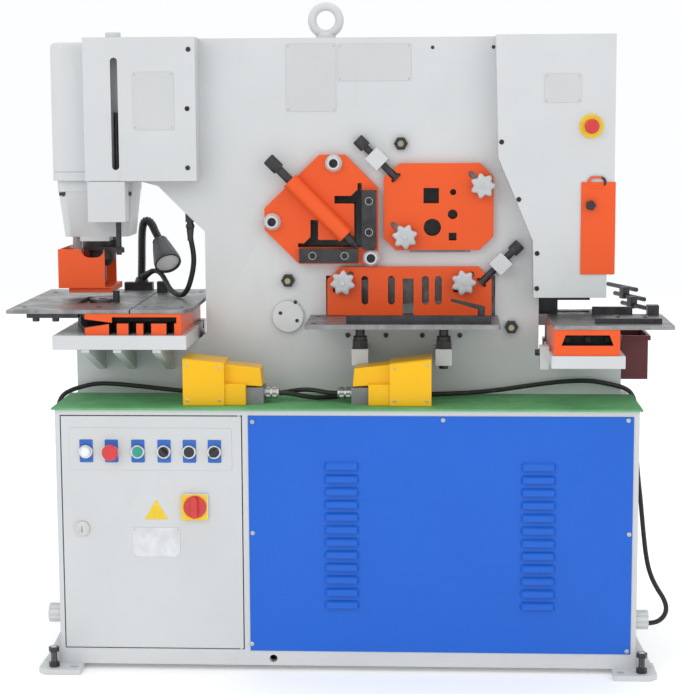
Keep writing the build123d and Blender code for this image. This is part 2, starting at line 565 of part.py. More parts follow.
# Blades on the arm
with BuildPart() as moving_blades:
    with BuildSketch(facing(MOVING_BACK)):
        with Locations(ANGLE_SQUARE):
            Rectangle(ANGLE_BLADE, ANGLE_BLADE)
        Polygon(*angle_hole(), align=None, mode=Mode.SUBTRACT)
    extrude(amount=BLADE_THICKNESS)
    with BuildSketch(facing(MOVING_BACK)):
        with Locations(SECTION_CENTRE):
            Rectangle(*SECTION_SIZE)
        section_holes()
    extrude(amount=BLADE_THICKNESS)
    with BuildSketch(facing(MOVING_BACK)):
        Polygon(*flat_blade_outline, align=None)
    extrude(amount=BLADE_THICKNESS)
moving_blades.part.label = "moving_blades"
export_step(moving_blades.part, "parts/moving_blades.step")

# Orange angle-shear plate with the spindle's tube welded on
ANGLE_PLATE = [(-75, 1318), (-8, 1318), (78, 1232), (78, 1033), (-130, 1033), (-220, 1123), (-220, 1179)]
SPINDLE_AT = (-78.0, 1180.0)
SPINDLE_Y = TOOL_FRONT - SPINDLE_TUBE_RADIUS + 3
SPINDLE_TUBE = 204.0
spindle_axis = Plane(origin=(SPINDLE_AT[0], SPINDLE_Y, SPINDLE_AT[1]), x_dir=(0, 1, 0),
                     z_dir=(-1 / sqrt(2), 0, 1 / sqrt(2)))
REST_THICKNESS = 20.0
REST_V = ((ANGLE_X, ANGLE_X + 38), (ANGLE_Z - 2, ANGLE_Z + 150))
REST_H = ((ANGLE_X - 164, ANGLE_X - 10), (ANGLE_Z - 39, ANGLE_Z - 2))
with BuildPart() as angle_plate:
    with BuildSketch(facing(PLATE_FRONT)):
        Polygon(*ANGLE_PLATE, align=None)
        Polygon(*angle_hole(), align=None, mode=Mode.SUBTRACT)
        with Locations(*ANGLE_BOLTS):
            Circle(ANGLE_BOLT_RADIUS, mode=Mode.SUBTRACT)
    extrude(amount=TOOL_PLATE)
    with BuildSketch(spindle_axis):
        Circle(SPINDLE_TUBE_RADIUS)
    extrude(amount=SPINDLE_TUBE / 2, both=True)
    with BuildSketch(spindle_axis):
        Circle(SPINDLE_RADIUS + RUNNING)
    extrude(amount=SPINDLE_TUBE / 2 + 1, both=True, mode=Mode.SUBTRACT)
angle_plate.part.label = "angle_plate"
export_step(angle_plate.part, "parts/angle_plate.step")

# Black rests that carry the angle bar, each with two counterbored screw holes
with BuildPart() as angle_rests:
    block(REST_V[0], (TOOL_FRONT - REST_THICKNESS, TOOL_FRONT), REST_V[1])
    block(REST_H[0], (TOOL_FRONT - REST_THICKNESS, TOOL_FRONT), REST_H[1])
    rest_screws = [(sum(REST_V[0]) / 2, REST_V[1][0] + 43), (sum(REST_V[0]) / 2, REST_V[1][1] - 28),
                   (REST_H[0][0] + 35, sum(REST_H[1]) / 2), (REST_H[0][1] - 35, sum(REST_H[1]) / 2)]
    with Locations(*[Location((x, TOOL_FRONT - REST_THICKNESS, z), (90, 0, 0)) for x, z in rest_screws]):
        CounterBoreHole(radius=5, counter_bore_radius=9, counter_bore_depth=10, depth=REST_THICKNESS)
angle_rests.part.label = "angle_rests"
export_step(angle_rests.part, "parts/angle_rests.step")

# Angle spindle: a screw with a knurled head and a pointed nose
SPINDLE_NOSE = 43.0
SPINDLE_OUT = 41.0
SPINDLE_HEAD = 39.0
with BuildPart() as angle_spindle:
    with BuildSketch(spindle_axis.offset(-SPINDLE_TUBE / 2 - SPINDLE_NOSE + 20)):
        Circle(SPINDLE_RADIUS)
    extrude(amount=SPINDLE_TUBE + SPINDLE_NOSE - 20 + SPINDLE_OUT)
    with BuildSketch(spindle_axis.offset(SPINDLE_TUBE / 2 + SPINDLE_OUT)):
        Circle(SPINDLE_HEAD_RADIUS)
    extrude(amount=SPINDLE_HEAD)
    with BuildSketch(spindle_axis.offset(-SPINDLE_TUBE / 2 - SPINDLE_NOSE + 20)):
        Circle(SPINDLE_RADIUS)
    extrude(amount=-20, taper=22)
    chamfer(angle_spindle.edges().filter_by(GeomType.CIRCLE).sort_by(SortBy.RADIUS)[-1], 1.5)
angle_spindle.part.label = "angle_spindle"
export_step(angle_spindle.part, "parts/angle_spindle.step")

# Orange hold-down plate of the section shear, moved along its diagonal slots by its screw
SECTION_PLATE = [(135, 1295), (344, 1295), (379, 1260), (379, 1104), (343, 1069), (124, 1069), (93, 1100), (93, 1258)]
KNOB_SLOT = 2 * STUD_RADIUS + 3
SLIDE_PLAY = 0.3
SECTION_TRAVEL = 20.0
FLAT_TRAVEL = 10.0
SECTION_SLOT = 60.0
SECTION_SLOT_SHIFT = 14.5


def hook(at, tilt):
    """Slot for the screw's disc and an open notch for its rod, cut from the sketch."""
    with Locations(Location((at[0], at[1]), tilt)):
        Rectangle(2 * HOLD_DISC_RADIUS + HOLD_DISC_CLEARANCE, HOLD_DISC + HOLD_DISC_CLEARANCE, mode=Mode.SUBTRACT)
        with Locations((0, BLOCK_DISTANCE / 2)):
            Rectangle(2 * HOLD_ROD_RADIUS + HOLD_DISC_CLEARANCE, BLOCK_DISTANCE, mode=Mode.SUBTRACT)


with BuildPart() as section_plate:
    with BuildSketch(facing(PLATE_FRONT - SLIDE_PLAY)):
        Polygon(*SECTION_PLATE, align=None)
        section_holes()
        with Locations(*[(x - SECTION_SLOT_SHIFT, z + SECTION_SLOT_SHIFT) for x, z in SECTION_STUDS]):
            SlotOverall(SECTION_SLOT, KNOB_SLOT, rotation=-45, mode=Mode.SUBTRACT)
        hook(SECTION_SCREW, 45)
    extrude(amount=TOOL_PLATE - 2 * SLIDE_PLAY)
section_plate.part.label = "section_plate"
export_step(section_plate.part, "parts/section_plate.step")

# Orange hold-down plate of the flat-bar shear with its sight slots
FLAT_PLATE = [(-20, 1025), (341, 1025), (375, 991), (375, TABLE_Z + 1), (-56, TABLE_Z + 1), (-56, 992)]
SIGHT_SLOTS = (43.0, 113.0, 202.0, 236.0)
with BuildPart() as flat_plate:
    with BuildSketch(facing(PLATE_FRONT - SLIDE_PLAY)):
        Polygon(*FLAT_PLATE, align=None)
        with Locations(*[(x, 963) for x in SIGHT_SLOTS]):
            SlotOverall(76, 18, rotation=90, mode=Mode.SUBTRACT)
        with Locations((157, 945)):
            Rectangle(28, 98, mode=Mode.SUBTRACT)
        with Locations(*FLAT_STUDS):
            SlotOverall(2 * FLAT_TRAVEL + 52, KNOB_SLOT, rotation=45, mode=Mode.SUBTRACT)
        hook(FLAT_SCREW, -45)
    extrude(amount=TOOL_PLATE - 2 * SLIDE_PLAY)
flat_plate.part.label = "flat_plate"
export_step(flat_plate.part, "parts/flat_plate.step")


def screw_axis(at, side):
    """Plane at the disc's middle, its normal out along the screw towards the head."""
    return Plane(origin=(at[0], HOLD_AXIS_Y, at[1]), x_dir=(0, 1, 0), z_dir=(side / sqrt(2), 0, 1 / sqrt(2)))


# Hold-down screws: a disc that turns in the plate's slot, a rod and a knurled head
HOLD_SCREW_LENGTH = 112.0
HOLD_HEAD = 30.0
HOLD_HEAD_RADIUS = 15.0
with BuildPart() as section_screw:
    with BuildSketch(screw_axis(SECTION_SCREW, -1)):
        Circle(HOLD_DISC_RADIUS)
    extrude(amount=HOLD_DISC / 2, both=True)
    with BuildSketch(screw_axis(SECTION_SCREW, -1)):
        Circle(HOLD_ROD_RADIUS)
    extrude(amount=HOLD_SCREW_LENGTH)
    with BuildSketch(screw_axis(SECTION_SCREW, -1).offset(HOLD_SCREW_LENGTH)):
        Circle(HOLD_HEAD_RADIUS)
    extrude(amount=HOLD_HEAD)
section_screw.part.label = "section_screw"
export_step(section_screw.part, "parts/section_screw.step")

with BuildPart() as flat_screw:
    with BuildSketch(screw_axis(FLAT_SCREW, 1)):
        Circle(HOLD_DISC_RADIUS)
    extrude(amount=HOLD_DISC / 2, both=True)
    with BuildSketch(screw_axis(FLAT_SCREW, 1)):
        Circle(HOLD_ROD_RADIUS)
    extrude(amount=HOLD_SCREW_LENGTH)
    with BuildSketch(screw_axis(FLAT_SCREW, 1).offset(HOLD_SCREW_LENGTH)):
        Circle(HOLD_HEAD_RADIUS)
    extrude(amount=HOLD_HEAD)
flat_screw.part.label = "flat_screw"
export_step(flat_screw.part, "parts/flat_screw.step")

# Star knobs on studs that pass through the slots of the two hold-down plates
KNOB_SEAT = TOOL_FRONT
KNOB_BOSS = 14.0
KNOB_HEIGHT = 24.0
with BuildPart() as star_knobs:
    with BuildSketch(facing(PLATE_FRONT + ANGLE_BOLT_DEPTH)):
        with Locations(*SECTION_STUDS, *FLAT_STUDS):
            Circle(STUD_RADIUS)
    extrude(amount=PLATE_FRONT + ANGLE_BOLT_DEPTH - KNOB_SEAT)
    with BuildSketch(facing(KNOB_SEAT)):
        with Locations(*SECTION_STUDS, *FLAT_STUDS):
            Circle(KNOB_BOSS)
    extrude(amount=8)
    with BuildSketch(facing(KNOB_SEAT - 8)):
        with Locations(*SECTION_STUDS, *FLAT_STUDS):
            Circle(STAR_RADIUS - 7)
            with PolarLocations(STAR_RADIUS - 8, 7):
                Circle(8)
    extrude(amount=KNOB_HEIGHT)
star_knobs.part.label = "star_knobs"
export_step(star_knobs.part, "parts/star_knobs.step")

# Flat-bar table, its clamped fence with the lever, and the jack screws under it
MID_TABLE_X = (-102.0, 392.0)
MID_TABLE_Y = (-300.0, PLATE_FRONT)
with BuildPart() as mid_table:
    block(MID_TABLE_X, MID_TABLE_Y, (TABLE_Z - TABLE_PLATE, TABLE_Z))
    chamfer(mid_table.edges().filter_by(Axis.Z).sort_by(Axis.Y)[:2], 4)
mid_table.part.label = "mid_table"
export_step(mid_table.part, "parts/mid_table.step")

FENCE_X = (2.0, 370.0)
FENCE_Y = (-275.0, -257.0)
FENCE_HEIGHT = 20.0
FENCE_TRAVEL = 80.0
FENCE_FOOT_X = (318.0, 362.0)
LEVER_AT = (345.0, -240.0)
SLIDE_LIFT = 0.3
with BuildPart() as table_fence:
    block(FENCE_X, FENCE_Y, (TABLE_Z + SLIDE_LIFT, TABLE_Z + FENCE_HEIGHT))
    block(FENCE_FOOT_X, (FENCE_Y[1], FENCE_Y[1] + 34), (TABLE_Z + SLIDE_LIFT, TABLE_Z + 9))
    with BuildSketch(Plane.XY.offset(TABLE_Z + 9)):
        with Locations(LEVER_AT):
            Circle(9)
    extrude(amount=30)
    with BuildSketch(facing(LEVER_AT[1] + 5)):
        Polygon((LEVER_AT[0] + 9, TABLE_Z + 41), (LEVER_AT[0] + 9, TABLE_Z + 28), (LEVER_AT[0] - 78, TABLE_Z + 54),
                (LEVER_AT[0] - 78, TABLE_Z + 61), align=None)
    extrude(amount=10)
table_fence.part.label = "table_fence"
export_step(table_fence.part, "parts/table_fence.step")

# Punch head: the rounded casing of the cylinder
HEAD_X = (PUNCH_X - HEAD_WIDTH / 2, PUNCH_X + HEAD_WIDTH / 2)
CYLINDER_Z = (1300.0, 1520.0)
with BuildPart() as punch_cylinder:
    with BuildSketch(Plane.XY.offset(HEAD_BOTTOM)):
        with Locations((PUNCH_X, 0)):
            RectangleRounded(HEAD_WIDTH, HEAD_DEPTH, 35)
    extrude(amount=HEAD_TOP - HEAD_BOTTOM)
    fillet(punch_cylinder.faces().sort_by(Axis.Z)[-1].edges(), 14)
    # the joint line around the casing
    with BuildSketch(Plane.XY.offset(HEAD_BOTTOM + 22)):
        with Locations((PUNCH_X, 0)):
            RectangleRounded(HEAD_WIDTH, HEAD_DEPTH, 35)
            RectangleRounded(HEAD_WIDTH - 4, HEAD_DEPTH - 4, 33, mode=Mode.SUBTRACT)
    extrude(amount=2.5, mode=Mode.SUBTRACT)
    with Locations((PUNCH_X, 0, sum(CYLINDER_Z) / 2)):
        Cylinder(PISTON_RADIUS, CYLINDER_Z[1] - CYLINDER_Z[0], mode=Mode.SUBTRACT)
    with Locations((PUNCH_X, 0, HEAD_BOTTOM)):
        Cylinder(RAM_RADIUS + RUNNING, 2 * (CYLINDER_Z[0] - HEAD_BOTTOM), mode=Mode.SUBTRACT)
punch_cylinder.part.label = "punch_cylinder"
export_step(punch_cylinder.part, "parts/punch_cylinder.step")

# Punch casting under the head: a flange, a tapered body, a lower block and the rod's guard box
FLANGE_Z = HEAD_BOTTOM - 29
BODY_Z = 1104.0
NOSE_Z = 1092.0
GUARD_BOX_X = (-676.0, -578.0)
GUARD_BOX_Y = (-150.0, -93.0)
GUARD_BOX_Z = (1147.0, HEAD_BOTTOM - 1)
STROKE_ROD = (-601.0, -122.0)
STROKE_ROD_RADIUS = 7.0
FLANGE_BOLT_X = (PUNCH_X - 86, PUNCH_X + 86)
POST_AT = (-742.0, 40.0)
POST = 24.0
POST_Z = (975.0, BODY_Z)
with BuildPart() as punch_casting:
    with BuildSketch(Plane.XY.offset(FLANGE_Z)):
        with Locations((PUNCH_X, 0)):
            RectangleRounded(200, 190, 25)
    extrude(amount=HEAD_BOTTOM - FLANGE_Z)
    with BuildSketch(Plane.XY.offset(FLANGE_Z)):
        with Locations((PUNCH_X, 0)):
            RectangleRounded(196, 186, 25)
    with BuildSketch(Plane.XY.offset(BODY_Z)):
        with Locations((PUNCH_X, 0)):
            RectangleRounded(172, 150, 20)
    loft()
    with BuildSketch(Plane.XY.offset(NOSE_Z)):
        with Locations((PUNCH_X - 4, -10)):
            Rectangle(78, 130)
    extrude(amount=BODY_Z - NOSE_Z)
    block(GUARD_BOX_X, GUARD_BOX_Y, GUARD_BOX_Z)
    block((GUARD_BOX_X[0] + 3, GUARD_BOX_X[1] - 3), (GUARD_BOX_Y[0] + 3, -97),
          (GUARD_BOX_Z[0] - 1, GUARD_BOX_Z[1] + 1), Mode.SUBTRACT)
    with Locations((PUNCH_X, 0, (NOSE_Z + HEAD_BOTTOM) / 2)):
        Cylinder(RAM_RADIUS + RUNNING, HEAD_BOTTOM - NOSE_Z + 2, mode=Mode.SUBTRACT)
    for x in FLANGE_BOLT_X:
        with Locations((x, -82, FLANGE_Z - 5)):
            Cylinder(9, 10)
    # the square post that carries the stripper box
    with Locations((POST_AT[0], POST_AT[1], (POST_Z[0] + BODY_Z + 20) / 2)):
        Box(POST, POST, BODY_Z + 20 - POST_Z[0])
punch_casting.part.label = "punch_casting"
export_step(punch_casting.part, "parts/punch_casting.step")

# Punch ram: piston, rod, ring nut, tool socket and the stroke rod on its arm
RING_Z = (1066.0, 1090.0)
PISTON_Z = (1440.0, 1490.0)
SOCKET_Z = 1022.0
with BuildPart() as punch_ram:
    with BuildSketch(Plane.XZ):
        with BuildLine():
            Polyline((PUNCH_X, SOCKET_Z), (PUNCH_X + 22, SOCKET_Z), (PUNCH_X + 36, SOCKET_Z + 18),
                     (PUNCH_X + 36, RING_Z[0]), (PUNCH_X + 50, RING_Z[0]), (PUNCH_X + 50, RING_Z[1]),
                     (PUNCH_X + RAM_RADIUS, RING_Z[1]), (PUNCH_X + RAM_RADIUS, PISTON_Z[0]),
                     (PUNCH_X + PISTON_RADIUS - RUNNING, PISTON_Z[0]),
                     (PUNCH_X + PISTON_RADIUS - RUNNING, PISTON_Z[1]), (PUNCH_X, PISTON_Z[1]), close=True)
        make_face()
    revolve(axis=Axis((PUNCH_X, 0, 0), (0, 0, 1)))
    with BuildSketch(Plane.XY.offset(RING_Z[0])):
        with Locations((PUNCH_X, 0)):
            Circle(44)
        with Locations(STROKE_ROD):
            Circle(14)
        make_hull()
    extrude(amount=12)
    with BuildSketch(Plane.XY.offset(RING_Z[0] - 6)):
        with Locations(STROKE_ROD):
            Circle(STROKE_ROD_RADIUS)
    extrude(amount=370)
    with Locations((PUNCH_X, 0, SOCKET_Z + 9)):
        Cylinder(PUNCH_RADIUS, 20, mode=Mode.SUBTRACT)
punch_ram.part.label = "punch_ram"
export_step(punch_ram.part, "parts/punch_ram.step")

# Punch: a round tool held in the ram's socket
PUNCH_TIP = 976.0
with BuildPart() as punch:
    with BuildSketch(Plane.XY.offset(PUNCH_TIP)):
        with Locations((PUNCH_X, 0)):
            Circle(PUNCH_RADIUS)
    extrude(amount=SOCKET_Z + 19 - PUNCH_TIP)
    chamfer(punch.faces().sort_by(Axis.Z)[0].edges(), 1)
punch.part.label = "punch"
export_step(punch.part, "parts/punch.step")

# Orange stripper box: a front wall with a notch, a left wall, a rear wall and a foot with the punch hole
BOX_X = (-767.0, -643.0)
BOX_Y = (-108.0, 68.0)
BOX_Z = (971.0, 1073.0)
BOX_WALL = 5.0
BOX_FOOT_Z = 957.0
BOX_FOOT_X = (-742.0, -628.0)
STRIPPER_TRAVEL = 20.0
CLAMP_Z = (1000.0, 1038.0)
with BuildPart() as stripper_box:
    with BuildSketch(facing(BOX_Y[0] + BOX_WALL)):
        with Locations((sum(BOX_X) / 2, sum(BOX_Z) / 2)):
            Rectangle(BOX_X[1] - BOX_X[0], BOX_Z[1] - BOX_Z[0])
        with Locations((BOX_X[1] - 32, BOX_Z[1])):
            SlotOverall(60, 44, mode=Mode.SUBTRACT)
    extrude(amount=BOX_WALL)
    block((BOX_X[0], BOX_X[0] + BOX_WALL), BOX_Y, BOX_Z)
    block(BOX_X, (BOX_Y[1] - BOX_WALL, BOX_Y[1]), (BOX_FOOT_Z, BOX_Z[1] - 10))
    block((BOX_X[0], BOX_FOOT_X[1]), BOX_Y, (BOX_Z[0] - 1, BOX_Z[0] + 2))
    block(BOX_FOOT_X, (BOX_Y[0] + 12, BOX_Y[1]), (BOX_FOOT_Z, BOX_Z[0]))
    with Locations((PUNCH_X, 0, BOX_Z[0])):
        Cylinder(PUNCH_RADIUS + 4, 60, mode=Mode.SUBTRACT)
    block((BOX_X[0] + BOX_WALL, POST_AT[0] + 20), (POST_AT[1] - 18, BOX_Y[1]), CLAMP_Z)
    with Locations((POST_AT[0], POST_AT[1], BOX_Z[0] + 40)):
        Box(POST + 0.3, POST + 0.3, 120, mode=Mode.SUBTRACT)
stripper_box.part.label = "stripper_box"
export_step(stripper_box.part, "parts/stripper_box.step")

# Punch bed: a white plate on the frame, with two T-slots and three gussets
BED_SLOTS = (-55.0, 35.0)
GUSSET_X = (-662.0, -580.0, -479.0)
BED_GUSSET = 22.0
with BuildPart() as punch_bed:
    block(BED_X, BED_Y, (BED_SEAT, BED_TOP))
    for y in BED_SLOTS:
        block((BED_X[0] - 1, BED_X[1] + 1), (y - 7, y + 7), (BED_TOP - 12, BED_TOP + 1), Mode.SUBTRACT)
        block((BED_X[0] - 1, BED_X[1] + 1), (y - 12, y + 12), (BED_TOP - 22, BED_TOP - 12), Mode.SUBTRACT)
    for x in GUSSET_X:
        with BuildSketch(Plane.YZ.offset(x - BED_GUSSET / 2)):
            Polygon((PLATE_FRONT, BED_SEAT), (BED_Y[0] + 6, BED_SEAT), (BED_Y[0] + 6, BED_SEAT - 8),
                    (PLATE_FRONT, BED_SEAT - 82), align=None)
        extrude(amount=BED_GUSSET)
    with Locations((PUNCH_X, 0, BED_TOP)):
        Cylinder(DIE_BORE + 3, 3 * BED_THICKNESS, mode=Mode.SUBTRACT)
punch_bed.part.label = "punch_bed"
export_step(punch_bed.part, "parts/punch_bed.step")

# Orange bolster under the punch table, with its pockets, wedge mouth and die seat
BOLSTER_X = (-665.0 - 50, -416.0)
BOLSTER_FRONT_X = -663.0
BOLSTER_Y = (-292.0, 84.0)
POCKETS = (-591.0, -541.0, -503.0, -444.0)
GROOVE_Z = (BED_TOP + 30, BED_TOP + 46)
with BuildPart() as punch_bolster:
    with BuildSketch(Plane.XY.offset(BED_TOP)):
        Polygon((BOLSTER_FRONT_X, BOLSTER_Y[0]), (BOLSTER_X[1], BOLSTER_Y[0]), (BOLSTER_X[1], BOLSTER_Y[1]),
                (BOLSTER_X[0] - 10, BOLSTER_Y[1]), (BOLSTER_X[0] - 10, -70), align=None)
    extrude(amount=BOLSTER_HEIGHT)
    block((BOLSTER_FRONT_X + 70, BOLSTER_X[1] - 12), (BOLSTER_Y[0] - 1, BOLSTER_Y[0] + 36), GROOVE_Z, Mode.SUBTRACT)
    for x in POCKETS:
        block((x - 10, x + 10), (BOLSTER_Y[0] - 1, BOLSTER_Y[0] + 60), (BED_TOP - 1, GROOVE_Z[0] + 1), Mode.SUBTRACT)
    with BuildSketch(facing(BOLSTER_Y[0] + 130)):
        Polygon((BOLSTER_FRONT_X - 70, BED_TOP + 8), (BOLSTER_FRONT_X - 70, BOLSTER_TOP - 4),
                (BOLSTER_FRONT_X + 76, BED_TOP + 31), align=None)
    extrude(amount=131, mode=Mode.SUBTRACT)
    with Locations((PUNCH_X, 0, BOLSTER_TOP)):
        Cylinder(DIE_RADIUS, 2 * DIE_DEPTH, mode=Mode.SUBTRACT)
        Cylinder(DIE_BORE + 2, 3 * BOLSTER_HEIGHT, mode=Mode.SUBTRACT)
punch_bolster.part.label = "punch_bolster"
export_step(punch_bolster.part, "parts/punch_bolster.step")

# Punch table: two steel plates round the die, and the dark bar under the left one
TABLE_LEFT_X = (-866.0, -550.0)
TABLE_LEFT_Y = (-288.0, 255.0)
TABLE_RIGHT_X = (-547.0, -394.0)
TABLE_OPENING = ((-718.0, -628.0), (-122.0, 46.0))
with BuildPart() as punch_table:
    block(TABLE_LEFT_X, TABLE_LEFT_Y, (BOLSTER_TOP, PUNCH_TABLE_TOP))
    block(TABLE_OPENING[0], TABLE_OPENING[1], (BOLSTER_TOP - 1, PUNCH_TABLE_TOP + 1), Mode.SUBTRACT)
    with BuildSketch(Plane.XY.offset(BOLSTER_TOP)):
        Polygon((TABLE_RIGHT_X[0], TABLE_LEFT_Y[0]), (TABLE_RIGHT_X[1] - 16, TABLE_LEFT_Y[0]),
                (TABLE_RIGHT_X[1], TABLE_LEFT_Y[0] + 60), (TABLE_RIGHT_X[1], 80), (TABLE_RIGHT_X[1] - 24, TABLE_LEFT_Y[1]),
                (TABLE_RIGHT_X[0], TABLE_LEFT_Y[1]), align=None)
    extrude(amount=PUNCH_TABLE_PLATE)
    for y in (-200, -60, 150):
        block((TABLE_RIGHT_X[0] + 30, TABLE_RIGHT_X[0] + 110), (y - 6, y + 6), (BOLSTER_TOP - 1, PUNCH_TABLE_TOP + 1),
              Mode.SUBTRACT)
    block((-814, -682), (TABLE_LEFT_Y[0] + 4, TABLE_LEFT_Y[0] + 34), (BOLSTER_TOP - 11, BOLSTER_TOP))
    with Locations((-793, TABLE_LEFT_Y[0] + 19, BOLSTER_TOP - 16), (-742, TABLE_LEFT_Y[0] + 19, BOLSTER_TOP - 16)):
        Cylinder(9, 10)
punch_table.part.label = "punch_table"
export_step(punch_table.part, "parts/punch_table.step")

# Left cover: a folded sheet box in front of the punch end, with the stroke slot and a cap on top
COVER_TOP = FRAME_TOP + 2
SLOT_X = STROKE_ROD[0]
SLOT_Z = 1426.0
SLOT_SIZE = (288.0, 18.5)
COVER_CLEARANCE = 1.0
with BuildPart() as left_cover:
    block(LEFT_COVER_X, (COVER_FRONT, PLATE_FRONT), (HEAD_BOTTOM, COVER_TOP))
    block((LEFT_COVER_X[0] + COVER_SHEET, LEFT_COVER_X[1] - COVER_SHEET), (COVER_FRONT + COVER_SHEET, PLATE_FRONT),
          (HEAD_BOTTOM + COVER_SHEET, COVER_TOP - COVER_SHEET), Mode.SUBTRACT)
    block((HEAD_X[0], HEAD_X[1] + COVER_CLEARANCE), (-HEAD_DEPTH / 2 - COVER_CLEARANCE, PLATE_FRONT + 1),
          (HEAD_BOTTOM - 1, HEAD_TOP + COVER_CLEARANCE), Mode.SUBTRACT)
    with BuildSketch(facing(COVER_FRONT + COVER_SHEET)):
        with Locations((SLOT_X, SLOT_Z)):
            SlotOverall(*SLOT_SIZE, rotation=90)
    extrude(amount=COVER_SHEET, mode=Mode.SUBTRACT)
    block((GUARD_BOX_X[0] + 4, GUARD_BOX_X[1] - 4), (GUARD_BOX_Y[0] + 6, -HEAD_DEPTH / 2),
          (HEAD_BOTTOM - 1, HEAD_BOTTOM + COVER_SHEET), Mode.SUBTRACT)
    with Locations((SLOT_X - 6, -110, COVER_TOP + 7)):
        Cylinder(20, 14)
    fillet(left_cover.faces().sort_by(Axis.Z)[-1].edges(), 3)
left_cover.part.label = "left_cover"
export_step(left_cover.part, "parts/left_cover.step")

# Right cover: a sheet shell round the shear cylinder, front, side, top and back
SIDE_STEP_Z = 1009.0
SIDE_STEP = 17.0
GUARD_SLOT_X = 625.0
GUARD_TRAVEL = 80.0
KNOB_Z = 1188.0
ESTOP_Z = 1389.0
cover_outline = [(RIGHT_COVER_X[0], COVER_TOP), (RIGHT_COVER_X[1], COVER_TOP), (RIGHT_COVER_X[1], SIDE_STEP_Z),
                 (RIGHT_COVER_X[1] - SIDE_STEP, SIDE_STEP_Z), (RIGHT_COVER_X[1] - SIDE_STEP, RIGHT_COVER_BOTTOM),
                 (482, RIGHT_COVER_BOTTOM), (479, 1096), (RIGHT_COVER_X[0] + 8, 1310)]
inner_outline = [(RIGHT_COVER_X[0] + 2, FRAME_TOP + 0.5), (RIGHT_COVER_X[1] - 2, FRAME_TOP + 0.5),
                 (RIGHT_COVER_X[1] - 2, SIDE_STEP_Z + 2), (RIGHT_COVER_X[1] - SIDE_STEP - 2, SIDE_STEP_Z + 2),
                 (RIGHT_COVER_X[1] - SIDE_STEP - 2, RIGHT_COVER_BOTTOM - 1),
                 (484, RIGHT_COVER_BOTTOM - 1), (481, 1097), (RIGHT_COVER_X[0] + 10, 1311)]
with BuildPart() as right_cover:
    with BuildSketch(facing(-COVER_FRONT)):
        Polygon(*cover_outline, align=None)
    extrude(amount=-2 * COVER_FRONT)
    with BuildSketch(facing(-COVER_FRONT - COVER_SHEET)):
        Polygon(*inner_outline, align=None)
    extrude(amount=-2 * COVER_FRONT - 2 * COVER_SHEET, mode=Mode.SUBTRACT)
    # the frame plates and the notcher's guides pass through the open left and lower sides
    block((RIGHT_COVER_X[0] - 1, SHOULDER_RIGHT + 1), (PLATE_FRONT, REAR_FACE), (RIGHT_COVER_BOTTOM - 1, FRAME_TOP),
          Mode.SUBTRACT)
    with BuildSketch(facing(COVER_FRONT + COVER_SHEET)):
        with Locations((GUARD_SLOT_X, KNOB_Z - GUARD_TRAVEL / 2)):
            SlotOverall(GUARD_TRAVEL + 12, 9, rotation=90)
    extrude(amount=COVER_SHEET, mode=Mode.SUBTRACT)
    with BuildSketch(facing(COVER_FRONT + COVER_SHEET)):
        with Locations((GUARD_SLOT_X, ESTOP_Z)):
            Circle(STEM_RADIUS + RUNNING)
    extrude(amount=COVER_SHEET, mode=Mode.SUBTRACT)
right_cover.part.label = "right_cover"
export_step(right_cover.part, "parts/right_cover.step")

# Notch guard: an orange plate that slides down over the notcher, with a bow handle and a lobed knob
GUARD_X = (601.0, RIGHT_COVER_X[1] + 3)
GUARD_Z = (1010.0, 1247.0)
GUARD_Y = (COVER_FRONT - 4, COVER_FRONT - 0.5)
with BuildPart() as notch_guard:
    block(GUARD_X, GUARD_Y, GUARD_Z)
    block((GUARD_X[1] - 2.5, GUARD_X[1]), (GUARD_Y[0], GUARD_Y[1] + 34), GUARD_Z)
    with BuildSketch(facing(GUARD_Y[1])):
        with Locations((641, GUARD_Z[1])):
            SlotOverall(48, 30)
            SlotOverall(34, 18, mode=Mode.SUBTRACT)
    extrude(amount=5)
    with BuildSketch(facing(GUARD_Y[0])):
        with Locations((GUARD_SLOT_X, KNOB_Z)):
            Circle(9)
            with PolarLocations(7, 5):
                Circle(6)
    extrude(amount=18)
    with BuildSketch(facing(GUARD_Y[0])):
        with Locations((GUARD_SLOT_X, KNOB_Z)):
            Circle(4)
    extrude(amount=-12)
notch_guard.part.label = "notch_guard"
export_step(notch_guard.part, "parts/notch_guard.step")

# Emergency stop on the right cover
with BuildPart() as emergency_button:
    with BuildSketch(facing(COVER_FRONT - 14)):
        with Locations((GUARD_SLOT_X, ESTOP_Z)):
            Circle(19)
    extrude(amount=14)
    fillet(emergency_button.faces().sort_by(Axis.Y)[0].edges(), 5)
    with BuildSketch(facing(COVER_FRONT - 14)):
        with Locations((GUARD_SLOT_X, ESTOP_Z)):
            Circle(STEM_RADIUS)
    extrude(amount=-32)
emergency_button.part.label = "emergency_button"
export_step(emergency_button.part, "parts/emergency_button.step")

